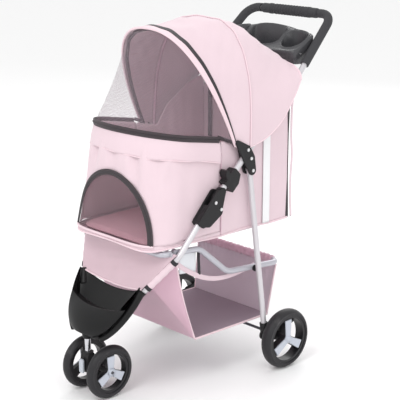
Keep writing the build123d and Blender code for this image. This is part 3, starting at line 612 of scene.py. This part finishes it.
def skin(v, w, out=0.0):
    """A point of the canopy: v runs from the front hoop to the rear edge and w from left to right.

    Each line of one v is a superellipse arch over its two low ends. The cloth sags between the hoops by a
    half sine, and sines that run askew crease it.
    """
    v, w = np.broadcast_arrays(np.asarray(v, float), np.asarray(w, float))
    base, top, n = smooth_curve(v, low_end), smooth_curve(v, top_end), smooth_curve(v, power)[..., 0]
    c, s = np.cos(w * pi), np.sin(w * pi)
    across = np.sign(c) * np.abs(c) ** (2 / n)
    up = np.abs(s) ** (2 / n)
    point = base * np.array([0, 1, 1]) + (top - base) * np.array([0, 1, 1]) * up[..., None]
    point[..., 0] = base[..., 0] * across
    sag = 0.007 * np.sin(pi * np.clip(v / MID, 0, 1)) + 0.004 * np.sin(pi * np.clip((v - MID) / (1 - MID), 0,
                                                                                    1))
    crease = 0.0032 * np.sin(w * 31 + 14 * v + 2 * np.sin(w * 9)) * np.sin(v * 13) * s
    crease = crease + 0.0018 * np.sin(w * 67 - 25 * v) * np.sin(v * 26) * s
    centre = np.array([0, 0.03, 0.66])
    return point + unit(point - centre) * (out + (crease - sag) * s)[..., None]


w = np.linspace(0, 1, 121)
w = 0.5 - 0.5 * np.cos(w * pi) * (0.72 + 0.28 * np.abs(np.cos(w * pi)))
front_skin = grid("canopy_front_cloth", skin(np.linspace(0, MID, 40)[:, None], w[None]), PINK, None,
                  thick=0.0012)
rear_skin = grid("canopy_rear_cloth", skin(np.linspace(MID, 1, 50)[:, None], w[None]), PINK, None,
                 thick=0.0012)
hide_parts("canopy_front_panel")
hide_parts("canopy_rear_panel")
cloth(front_skin, 0.80, 0.24)
cloth(rear_skin, 0.84, 0.26)

binding = grid("canopy_binding", skin(np.linspace(0.0, 0.040, 10)[:, None], w[None], 0.0036), PALE,
               "canopy_front", thick=0.0014)
cloth(binding, 0.80, 0.02)
front_zip = grid("canopy_zip", skin(np.linspace(0.043, 0.074, 8)[:, None], w[None], 0.0036), ZIP,
                 "canopy_front", thick=0.0016)
cloth(front_zip, 0.80, 0.02)
piping("canopy_front_bead", skin(0 * w, w, 0.001), 0.0034, "canopy_front", up=(0, 1, 0.45))
piping("canopy_mid_piping", skin(0 * w + MID, w, 0.0022), 0.0019, "canopy_mid", up=(0, 1, 0))
piping("canopy_rear_hem", skin(0 * w + 0.995, w, 0.001), 0.0022, up=(0, 1, -0.8))
mid_sleeve = tube("canopy_mid_sleeve", skin(0 * w + MID, w, -0.0065), 0.0042, ROSE, "canopy_mid",
                  up=(0, 1, 0))
front_sleeve = tube("canopy_front_sleeve", skin(0 * w + 0.03, w, -0.0060), 0.0044, BLACK_TAPE,
                    "canopy_front", up=(0, 1, 0.4))
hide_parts("canopy_mid_hoop")
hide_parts("canopy_front_hoop")
for hand, end in (("left", 0.0), ("right", 1.0)):
    v = np.linspace(0.02, MID, 44)
    front_hem = piping(f"canopy_front_hem_{hand}", skin(v, end + 0 * v), 0.0018, None, up=(1, 0, 0))
    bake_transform(front_hem)
    v = np.linspace(MID, 0.999, 52)
    rear_hem = piping(f"canopy_rear_hem_{hand}", skin(v, end + 0 * v), 0.0018, None, up=(1, 0, 0))
    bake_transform(rear_hem)
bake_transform(front_skin)
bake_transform(rear_skin)

# %% [markdown]
# ## Gusset
# A strip of cloth closes the gap between the canopy's rear edge and the back wall. It is a straight blend
# from one line to the other, which is how a strip sewn along both edges lies.

# %% Gusset behind the canopy
w = np.linspace(0.012, 0.988, 91)
high_line = skin(0 * w + 0.985, w, -0.004)
low_line = np.stack([HALF * np.cos(w * pi), 0 * w + BACK_Y, 0 * w + 0.767], -1)
low_line[:, 0] = np.clip(high_line[:, 0], -HALF, HALF)
low_line[:, 2] = np.minimum(0.768, high_line[:, 2] - 0.004)
fall = np.linspace(0, 1, 14)[:, None, None]
gusset = grid("canopy_gusset", high_line[None] * (1 - fall) + low_line[None] * fall, PINK, "front_frame",
              thick=0.0011)
cloth(gusset, 0.40, 0.10)

# %% [markdown]
# ## Mesh window
# The window is pulled straight from the front hoop to the rim, so each of its lines is straight that way. It
# belongs to the window.

# %% Mesh window
w = np.linspace(0.006, 0.994, 91)
hoop_line = skin(0 * w + 0.002, w, -0.004)
s = np.sign(np.cos(w * pi)) * S_RIM * np.abs(np.cos(w * pi)) ** 0.85
rim_line = wall(s, rim_z(s) + 0.009, -0.002)
fall = np.linspace(0, 1, 36)[:, None, None]
dip = np.sin(fall * pi) * 0.006
window_points = hoop_line[None] * (1 - fall) + rim_line[None] * fall
window_points = window_points + unit(window_points - np.array([0, -0.05, 0.70])) * -dip
window = grid("window_net_sheet", window_points, WINDOW_NET, "window")
window_pieces = [window]
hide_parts("window_mesh")
cloth(window, 0.62, 0.30)
for hand, index in (("left", 0), ("right", -1)):
    path = window_points[:, index]
    window_pieces.append(band(f"window_edge_{hand}", path, (1, 0, 0), 0.010, 0.002, BLACK_TAPE, "window"))
for piece in window_pieces:
    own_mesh(piece)

# %% [markdown]
# ## Apron and sleeves
# The cloth below the cabin is a sling between the two front tubes. It wraps each tube in a sleeve, and its
# lower edge hangs in a curve. Pinned cloth in a simulation would do it too, but it would leave the lower
# edge to chance, so the sling is the line of the tube bent by two short curves.

# %% Apron
tube_high, tube_low = np.array([0.186, -0.211, 0.392]), np.array([0.103, -0.2965, 0.2708])
tube_dir = unit(tube_low - tube_high)
share = np.linspace(0, 1, 36)[:, None]
x = np.linspace(-1, 1, 61)
start, stop = -0.006, 0.127
edge_at = tube_high + tube_dir * (start + (stop - start) * share)[..., None] + np.array([0, -0.0095, 0.006])
edge_line = edge_at[:, 0]
apron_x = edge_line[:, None, 0] * x
dish = 1 - x ** 2
belly = -0.046 * (1 - share) ** 1.3 + 0.012 * np.sin(share * pi) + 0.006 * share
apron_y = edge_line[:, None, 1] + belly * dish
apron_z = edge_line[:, None, 2] + (0.010 - 0.024 * share ** 1.3) * dish
crumple = 0.0014 * np.sin(x * 11 + share * 9) * np.sin(share * 17 - x * 4) * dish
apron_y = apron_y - crumple
# The apron uses the pink with painted shade from the cabin above it.
apron = grid("apron_cloth", np.stack([apron_x, apron_y, apron_z], -1), PINK_WITH_PAINTED_SHADE, "front_frame",
             thick=0.0013)
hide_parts("apron")
cloth(apron, 0.36, 0.15)
low_edge = np.stack([apron_x[-1], apron_y[-1], apron_z[-1]], -1)
piping("apron_hem", low_edge + np.array([0, -0.001, 0]), 0.0022)
for hand, sign in pair.items():
    flip = np.array([sign, 1, 1])
    along = np.linspace(0.012, 0.112, 40)[:, None]
    centre = (tube_high + tube_dir * along) * flip
    wobble = 0.0103 + 0.0005 * np.sin(along[:, 0] * 260)
    tube(f"front_sleeve_{hand}", centre, wobble, PINK, "front_frame", up=(0, 1, 0.7), around=20)
    for name, at in (("high", 0.016), ("low", 0.112)):
        strap_at = np.array([at - 0.005, at, at + 0.005])[:, None]
        tube(f"sleeve_strap_{name}_{hand}", (tube_high + tube_dir * strap_at) * flip, 0.0112, STRAP,
             "front_frame", up=(0, 1, 0.7), around=24)

# %% [markdown]
# ## Basket
# The basket is cloth held by its edges: a floor that sags a little, a leaning front, a wing up each front
# tube, and a back wall that hangs from the rear bar in a gathered sleeve. Both sides are open. The front and
# the wings belong to the front tubes and the rest to the lower frame.

# %% Basket shell
FX, FRONT_Y, REAR_Y, FZ = 0.150, -0.121, 0.159, 0.1285
u = np.linspace(-1, 1, 61)
v = np.linspace(0, 1, 50)[:, None]
sag = 0.007 * (1 - u ** 2) * np.sin(pi * v)
floor = np.stack([FX * u + 0 * v, FRONT_Y + (REAR_Y - FRONT_Y) * v + 0 * u, FZ + 0.007 - sag], -1)
basket = [grid("basket_floor", floor, MAUVE, "lower_frame", thick=0.0014)]
cloth(basket[0], 0.30, 0.28)
hub_y, hub_z, hub_x = -0.250, 0.306, 0.116
lean = np.stack([(FX + (hub_x - FX) * v) * u,
                 FRONT_Y + (hub_y - FRONT_Y) * v + 0.006 * np.sin(pi * v) * (1 - u ** 2),
                 FZ + 0.006 + (hub_z - FZ - 0.006) * v - 0.020 * v ** 3 * (1 - u ** 2)], -1)
basket.append(grid("basket_front", lean, ROSE, "front_frame", thick=0.0014))
cloth(basket[1], 0.30, 0.23)
hang = np.stack([(FX + 0.010 * v) * u, REAR_Y + 0.024 * v + 0.003 * np.sin(v * pi) * (1 - u ** 2)
                 + 0.0015 * np.sin(u * 60) * v ** 2, FZ + 0.006 + 0.146 * v + 0 * u], -1)
basket.append(grid("basket_back", hang, LINING, "lower_frame", thick=0.0014))
cloth(basket[2], 0.32, 0.15)
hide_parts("basket")
bar_x = np.linspace(-0.145, 0.145, 90)
bar = np.stack([bar_x, 0.186 + 0 * bar_x, 0.290 + 0 * bar_x], -1)
basket.append(tube("basket_back_sleeve", bar,
                   0.0112 + 0.0011 * np.sin(bar_x * 420) + 0.0005 * np.sin(bar_x * 173),
                   ROSE, "lower_frame", around=20))
for hand, sign in pair.items():
    floor_end = np.array([sign * FX, FRONT_Y, FZ + 0.006])
    hub_end = np.array([sign * hub_x, hub_y, hub_z])
    tube_end = np.array([sign * 0.171, -0.206, 0.378])
    a, b = np.linspace(0, 1, 30)[:, None, None], np.linspace(0, 1, 24)[None, :, None]
    high = hub_end * (1 - b) + tube_end * b
    wing = floor_end * (1 - a) + high * a
    wing = wing + np.array([sign * 0.010, 0, 0]) * np.sin(pi * a) * np.sin(pi * b) ** 0.8
    wing = wing + np.array([0, -0.008, 0.004]) * np.sin(pi * a) * b
    basket.append(grid(f"basket_wing_{hand}", wing, ROSE, "front_frame", thick=0.0014))
    cloth(basket[-1], 0.11, 0.30)
    basket.append(piping(f"basket_wing_piping_{hand}", wing[:, -1], 0.0026, "front_frame",
                         up=(1, 0, 0)))
    y = np.linspace(FRONT_Y, REAR_Y, 60)
    low_line = np.stack([sign * (FX + 0.001) + 0 * y, y, FZ + 0.006 + 0 * y], -1)
    basket.append(piping(f"basket_floor_piping_{hand}", low_line, 0.0028, "lower_frame"))
    t = np.linspace(0, 1, 30)
    back_line = np.stack([sign * (FX + 0.010 * t), REAR_Y + 0.024 * t, FZ + 0.006 + 0.146 * t], -1)
    basket.append(piping(f"basket_back_piping_{hand}", back_line, 0.0026, "lower_frame",
                         up=(1, 0, 0)))
    t = np.linspace(0, 1, 60)
    hem_y = -0.200 + 0.300 * t
    hem_z = 0.372 - 0.075 * t - 0.050 * np.sin(pi * t) ** 0.9 * (1 - 0.3 * t)
    hem_line = np.stack([sign * (0.1575 + 0.004 * np.cos(pi * t)), hem_y, hem_z], -1)
    basket.append(band(f"basket_side_hem_{hand}", hem_line, (1, 0, 0), 0.013, 0.002, PINK, "lower_frame"))
    strap = np.stack([sign * 0.160 + 0 * t, -0.118 + 0.004 * t, 0.398 - 0.080 * t], -1)
    basket.append(band(f"basket_strap_{hand}", strap, (1, 0, 0), 0.010, 0.002, STRAP, "lower_frame"))
    py, pz = np.linspace(-0.186, -0.124, 14), np.linspace(0.336, 0.392, 14)[:, None]
    patch = np.stack([sign * (0.1585 + 0.002 * np.sin(py * 60) + 0 * pz), py + 0 * pz,
                      pz - 0.12 * (py + 0.186)], -1)
    basket.append(grid(f"basket_side_patch_{hand}", patch, PATCH, "lower_frame",
                       thick=0.0012))
    cloth(basket[-1], 0.065, 0.06)
for piece in basket:
    if piece.name.startswith(("basket_front", "basket_wing")):
        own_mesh(piece)
    else:
        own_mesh(piece)

# %% [markdown]
# ## Floor pad
# The cabin's floor is a thin stuffed pad. It starts as a rounded slab and a short cloth simulation with
# air pressure inside gives it a crown; then a channel is sewn in by moving points.

# %% Floor pad
n = 60
x = np.linspace(-1, 1, n)
y_row = np.linspace(0, 1, n)[:, None]
pad_y = -0.281 + y_row * 0.476
half = np.interp(pad_y, [-0.281, -0.276, -0.262, -0.24, -0.15, 0.20],
                 [0.105, 0.130, 0.146, 0.153, 0.157, 0.157])
ring_t = np.linspace(0, 2 * pi, 24, endpoint=False)[:, None, None]
profile_x = np.sign(np.cos(ring_t)) * np.abs(np.cos(ring_t)) ** 0.5
flat_x = profile_x[:, :, 0] * half[:, 0][None]
thick = 0.0065 * np.sin(pi * np.clip(y_row[:, 0], 0.001, 0.999)) ** 0.25
tall = 0.4270 + np.sign(np.sin(ring_t[:, :, 0])) * np.abs(np.sin(ring_t[:, :, 0])) ** 0.6 * thick[None]
pad = grid("floor_pad", np.stack([flat_x, np.broadcast_to(pad_y[:, 0], flat_x.shape), tall], -1), PAD,
           None, wrap=True, caps=True)


def puff(piece, voxel, pressure, frames, most):
    """Fills a closed piece with air: remesh, a cloth simulation, and a limit on how far a point moves."""
    remesh = piece.modifiers.new("voxels", "REMESH")
    remesh.mode, remesh.voxel_size = "VOXEL", voxel
    bpy.context.view_layer.update()
    depsgraph = bpy.context.evaluated_depsgraph_get()
    fine = bpy.data.meshes.new_from_object(piece.evaluated_get(depsgraph))
    piece.modifiers.clear()
    piece.data = fine
    before = np.zeros(len(fine.vertices) * 3)
    fine.vertices.foreach_get("co", before)
    sim = piece.modifiers.new("air", "CLOTH")
    sim.settings.use_pressure = True
    sim.settings.uniform_pressure_force = pressure
    sim.settings.effector_weights.gravity = 0
    for number in range(1, frames + 1):
        scene.frame_set(number)
    depsgraph = bpy.context.evaluated_depsgraph_get()
    blown = bpy.data.meshes.new_from_object(piece.evaluated_get(depsgraph))
    after = np.zeros(len(blown.vertices) * 3)
    blown.vertices.foreach_get("co", after)
    move = (after - before).reshape(-1, 3)
    length = np.linalg.norm(move, axis=1, keepdims=True)
    points = before.reshape(-1, 3) + move * np.minimum(1, most / np.maximum(length, 1e-9))
    piece.modifiers.clear()
    scene.frame_set(1)
    return points


points = puff(pad, 0.006, 4.0, 14, 0.005)
points[:, 2] = np.maximum(points[:, 2], 0.4195)
seam = np.exp(-((points[:, 1] + 0.02) / 0.006) ** 2)
points[:, 2] -= 0.004 * seam * (points[:, 2] > 0.427)
pad.data.vertices.foreach_set("co", points.reshape(-1).astype(np.float32))
pad.data.update()
pad.data.polygons.foreach_set("use_smooth", [True] * len(pad.data.polygons))
pad.data.materials.clear()
pad.data.materials.append(PAD)
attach(pad, "front_frame")
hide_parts("floor_board")
low_line = curve(low_hull, np.linspace(0, 1, 60))
under_x = np.concatenate([low_line[:, 0] - 0.003, np.full(50, HALF - 0.003)])
under_y = np.concatenate([low_line[:, 1] + 0.003, np.linspace(SIDE_Y + 0.006, BACK_Y - 0.002, 50)])
bx = np.linspace(-1, 1, 40)
under_points = np.stack([under_x[:, None] * bx, under_y[:, None] + 0 * bx,
                         0.4160 + 0 * under_y[:, None] * bx], -1)
under = grid("cabin_under_cloth", under_points, ROSE, "front_frame", thick=0.002)
cloth(under, 0.34, 0.505)

# %% [markdown]
# ## Strap inside the cabin
# A short black strap shows through the net in the back corner. It is a flat band along a straight path.

# %% Lining strap inside the cabin
z = np.linspace(0.60, 0.752, 20)
strap = np.stack([-0.139 + 0 * z, BACK_Y - 0.004 + 0 * z, z], -1)
band("inside_strap", strap, (0, -1, 0), 0.016, 0.002, STRAP, "front_frame", across=(1, 0, 0))

# %% [markdown]
# ## Hub shield
# The hub is a deep moulded bowl between two thick arms. It is one surface: u runs from arm to arm and v from
# the top edge down to the tip, with a ridge where the recessed upper panel meets the bulging lower part.

# %% Hub shield
u = np.linspace(-1, 1, 81)
v = np.linspace(0, 1, 70)[:, None]
tip = np.array([0, -0.371, 0.168])
arm_high = np.array([0.1225, -0.279, 0.303])
fan = np.sqrt(1 - np.clip(v, 0, 0.9999) ** 1.75) ** 0.95
half_width = 0.020 + (arm_high[0] - 0.020) * fan
middle_y = arm_high[1] + (tip[1] - arm_high[1]) * v
middle_z = arm_high[2] + (tip[2] - arm_high[2]) * v
normal_y, normal_z = -0.826, 0.563
ridge = 0.36 + 0.10 * (1 - u ** 2)
below = np.clip((v - ridge) / 0.05, 0, 1)
below = below * below * (3 - 2 * below)
bulge = 0.027 * below * (1 - u ** 2) ** 0.5 * np.sin(pi * np.clip((1.12 - v) / 0.80, 0, 1)) ** 0.6
recess = -0.013 * (1 - below) * (1 - u ** 6)
rim_lift = 0.006 * np.abs(u) ** 10
proud = 0.012 + bulge + recess + rim_lift
dip = -0.018 * (1 - u ** 2) * (1 - v) ** 2
shield = np.stack([half_width * u + 0 * v, middle_y + normal_y * proud, middle_z + dip + normal_z * proud],
                  -1)
back_side = np.stack([half_width * u * 0.97 + 0 * v, middle_y - normal_y * 0.010 + 0 * u,
                      middle_z + dip - normal_z * 0.010], -1)
loop = np.concatenate([shield, back_side[::-1]], 0)
hub = grid("hub_shield", loop, finishes["hub_plastic"], "front_frame", wrap=True, caps=True)
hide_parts("front_hub")
for hand, sign in pair.items():
    t = np.linspace(0, 0.93, 60)
    fan_t = np.sqrt(1 - t ** 1.75) ** 0.95
    rim_line_hub = np.stack([sign * (0.020 + (arm_high[0] - 0.020) * fan_t),
                             arm_high[1] + (tip[1] - arm_high[1]) * t - 0.006,
                             arm_high[2] + (tip[2] - arm_high[2]) * t - 0.004], -1)
    thick_rim = 0.0105 - 0.0035 * t
    tube(f"hub_rim_{hand}", rim_line_hub, thick_rim, finishes["hub_plastic"], "front_frame",
         up=(0, 1, -0.6), around=16)
    low_at = tube_low * np.array([sign, 1, 1])
    t = np.linspace(0, 1, 24)[:, None]
    arm = low_at + (arm_high * np.array([sign, 1, 1]) - low_at) * (t * 1.06 - 0.06)
    radius = np.full(24, 0.0122)
    radius[-2:] = 0.0128
    tube(f"hub_arm_{hand}", arm, radius, finishes["hub_plastic"], "front_frame",
         up=(0, 1, -0.6), around=24)
turn = np.linspace(0, 2 * pi, 32, endpoint=False)[:, None]
t = np.linspace(0, 1, 10)[None, :]
radius = 0.0125 + 0.003 * t
STEM_Y, COLLAR_Z, COLLAR_TALL = -0.368, 0.1625, 0.014
collar = np.stack([radius * np.cos(turn), STEM_Y + radius * np.sin(turn),
                   COLLAR_Z + COLLAR_TALL * t + 0 * turn], -1)
grid("stem_collar", collar, finishes["hub_plastic"], "front_frame", wrap=True, caps=True)

# %% [markdown]
# ## Handle grip and wheel caps
# The grip on the cross bar is turned foam with ribs, so it is a profile spun round the bar.

# %% Grip and caps
GRIP_HALF, GRIP_RADIUS, BAR_Y, BAR_Z = 0.110, 0.0150, 0.396, 0.965
x = np.linspace(-GRIP_HALF, GRIP_HALF, 400)
ribs = 0.0011 * np.sign(np.sin(x * 560)) * np.abs(np.sin(x * 560)) ** 0.5 * (np.abs(x) < 0.060)
ends_round = GRIP_RADIUS - 0.006 * np.clip((np.abs(x) - 0.101) / 0.009, 0, 1) ** 2
ring_step = 0.0012 * (np.abs(np.abs(x) - 0.072) < 0.005)
radius = ends_round - 0.0008 + ribs + ring_step
grip_line = np.stack([x, 0 * x + BAR_Y, 0 * x + BAR_Z], -1)
grip = tube("ribbed_grip", grip_line, radius, finishes["foam"], "handle_frame", up=(0, 0, 1),
            around=40)
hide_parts("handle_grip")
WHEEL_AT = {"front": (-0.338, 0.073), "rear": (0.153, 0.085)}
CAP_RADIUS, CAP_PROUD = 0.009, 0.0030
turn = np.linspace(0, 2 * pi, 36, endpoint=False)[:, None]
t = np.linspace(0.001, 1, 10)[None, :]
for end, (centre_y, centre_z) in WHEEL_AT.items():
    for hand, sign in pair.items():
        low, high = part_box(f"{end}_cover_{hand}")
        side_x = high[0] if sign > 0 else low[0]
        dome = np.stack([side_x + sign * (CAP_PROUD * (1 - t ** 4)) + 0 * turn,
                         centre_y + CAP_RADIUS * t * np.cos(turn), centre_z + CAP_RADIUS * t * np.sin(turn)],
                        -1)
        flat_back = dome[:, ::-1].copy()
        flat_back[..., 0] = side_x - sign * 0.0004
        grid(f"{end}_cover_cap_{hand}", np.concatenate([dome, flat_back], 1), finishes["cover_grey"],
             f"{end}_wheel_{hand}", wrap=True)

# %% [markdown]
# ## Parent tray
# The tray is one moulding: a deck that climbs to the back, with two round cup wells and a bin pressed into
# it, and side walls that fall to a smaller floor. Boolean cuts would leave sharp lips, so it is a disc of
# rings whose height is a function of place: the inner rings are the deck, the outer ones the wall, and the
# last ones close the floor.

# %% Tray
TRAY_HALF, TRAY_Y, WELL_X, WELL_Y, WELL_RADIUS = 0.1585, 0.292, 0.113, 0.2935, 0.0335
turn = np.linspace(0, 2 * pi, 420, endpoint=False)[:, None]
c, sn = np.cos(turn), np.sin(turn)
edge_x = TRAY_HALF * np.sign(c) * np.abs(c) ** 0.34
edge_y = np.where(sn > 0, 0.0480, 0.0640 - 0.012 * (1 - np.abs(c) ** 3)) * np.sign(sn) * np.abs(sn) ** 0.42
deck_share = np.linspace(0.0005, 1, 92)[None, :]
tray_x, tray_y = edge_x * deck_share, TRAY_Y + edge_y * deck_share


def step(value, low, high):
    """Climbs smoothly from 0 to 1 as value passes from low to high."""
    t = np.clip((value - low) / (high - low), 0, 1)
    return t * t * (3 - 2 * t)


climb = step(tray_y, 0.236, 0.335)
deck = 0.876 + 0.048 * climb + 0.008 * np.cos(tray_x / 0.158 * pi) * climb
deck = deck - 0.010 * np.exp(-(tray_x / 0.055) ** 2) * (1 - climb)
for well_x in (-WELL_X, WELL_X):
    far = np.hypot(tray_x - well_x, tray_y - WELL_Y)
    well = 1 - step(far, WELL_RADIUS, WELL_RADIUS + 0.0027)
    deck = deck + 0.0035 * np.exp(-((far - 0.0385) / 0.0026) ** 2)
    deck = deck * (1 - well) + well * (0.8500 + 0.001 * step(far, 0.028, 0.034))
bin_far = ((np.abs(tray_x) / 0.0640) ** 4 + (np.abs(tray_y - 0.2965) / 0.0300) ** 4) ** 0.25
hollow = 1 - step(bin_far, 0.94, 1.0)
deck = deck + 0.003 * np.exp(-((bin_far - 1.05) / 0.03) ** 2)
deck = deck * (1 - hollow) + hollow * 0.8620
deck = deck - 0.004 * step(deck_share + 0 * deck, 0.975, 1.0)
rows_down = np.linspace(0.02, 1, 14)[None, :]
under_z = 0.838 + 0.018 * (1 - (np.abs(edge_x) / TRAY_HALF) ** 2)
wall_x = edge_x * (1 + 0.004 * np.sin(rows_down * pi) - 0.06 * rows_down ** 2)
wall_y = TRAY_Y + edge_y * (1 - 0.16 * rows_down ** 1.5)
wall_z = deck[:, -1:] + (under_z - deck[:, -1:]) * rows_down
base = np.linspace(0.95, 0.001, 14)[None, :]
base_points = np.stack([wall_x[:, -1:] * base, TRAY_Y + (wall_y[:, -1:] - TRAY_Y) * base,
                        wall_z[:, -1:] + 0 * base], -1)
tray_points = np.concatenate([np.stack([tray_x, tray_y, deck], -1), np.stack([wall_x, wall_y, wall_z], -1),
                              base_points], 1)
tray = grid("tray_moulding", tray_points, finishes["tray_plastic"], "handle_frame", wrap=True)
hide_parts("parent_tray")

# %% [markdown]
# ## Softened mouldings
# The CAD mouldings have sharp edges. A small bevel rounds them so that they catch the light.

# %% Bevels
stems = ("lock_housing", "lock_slider", "hinge_bracket", "wheel_holder", "front_cover", "rear_cover")
for name in [f"{stem}_{hand}" for stem in stems for hand in pair] + ["caster_housing"]:
    piece = frame["nodes"][name]
    weld = piece.modifiers.new("weld", "WELD")
    weld.merge_threshold = 0.00002
    edge = piece.modifiers.new("edge", "BEVEL")
    edge.width, edge.segments, edge.limit_method, edge.angle_limit = 0.0012, 2, "ANGLE", math.radians(40)

# %% [markdown]
# ## Studio
# A plain pale floor, a pale sky for soft light, and two large lamps.

# %% Floor, light and camera
mesh = bpy.data.meshes.new("floor")
mesh.from_pydata([(-40, -40, 0), (40, -40, 0), (40, 40, 0), (-40, 40, 0)], [], [(0, 1, 2, 3)])
ground = bpy.data.objects.new("floor", mesh)
mesh.materials.append(finish("pale_floor", (0.97, 0.97, 0.97), 0.9, vary=0.003, bump=0.0, spec=0.1))
scene.collection.objects.link(ground)

world = bpy.data.worlds.new("studio")
scene.world = world
world.use_nodes = True
world.node_tree.nodes["Background"].inputs[0].default_value = (1, 1, 1, 1)
world.node_tree.nodes["Background"].inputs[1].default_value = 0.96


def lamp(name, at, to, size, power):
    """A round area light that points at a place."""
    light = bpy.data.lights.new(name, "AREA")
    light.shape, light.size, light.energy = "DISK", size, power
    light_object = bpy.data.objects.new(name, light)
    light_object.location = at
    light_object.rotation_euler = (Vector(to) - Vector(at)).to_track_quat("-Z", "Y").to_euler()
    scene.collection.objects.link(light_object)


lamp("key", (0.8, -2.6, 3.4), (0, 0, 0.5), 1.6, 44)
lamp("side", (3.4, -0.6, 2.0), (0, 0, 0.5), 1.8, 14)
lamp("back", (-1.6, 3.0, 2.6), (0, 0, 0.5), 2.4, 34)

view_from, height, distance = math.radians(46.92), math.radians(15.28), 3.19891
target = Vector((0.06595, -0.02297, 0.48773))
away = Vector((math.sin(view_from) * math.cos(height), -math.cos(view_from) * math.cos(height),
               math.sin(height)))
camera = bpy.data.cameras.new("camera")
camera.lens, camera.sensor_width = 105.7, 36.0
camera.clip_end = 200
eye = bpy.data.objects.new("camera", camera)
eye.location = target + away * distance
eye.rotation_euler = (-away).to_track_quat("-Z", "Y").to_euler()
scene.collection.objects.link(eye)
scene.camera = eye
scene.view_settings.view_transform = "Standard"
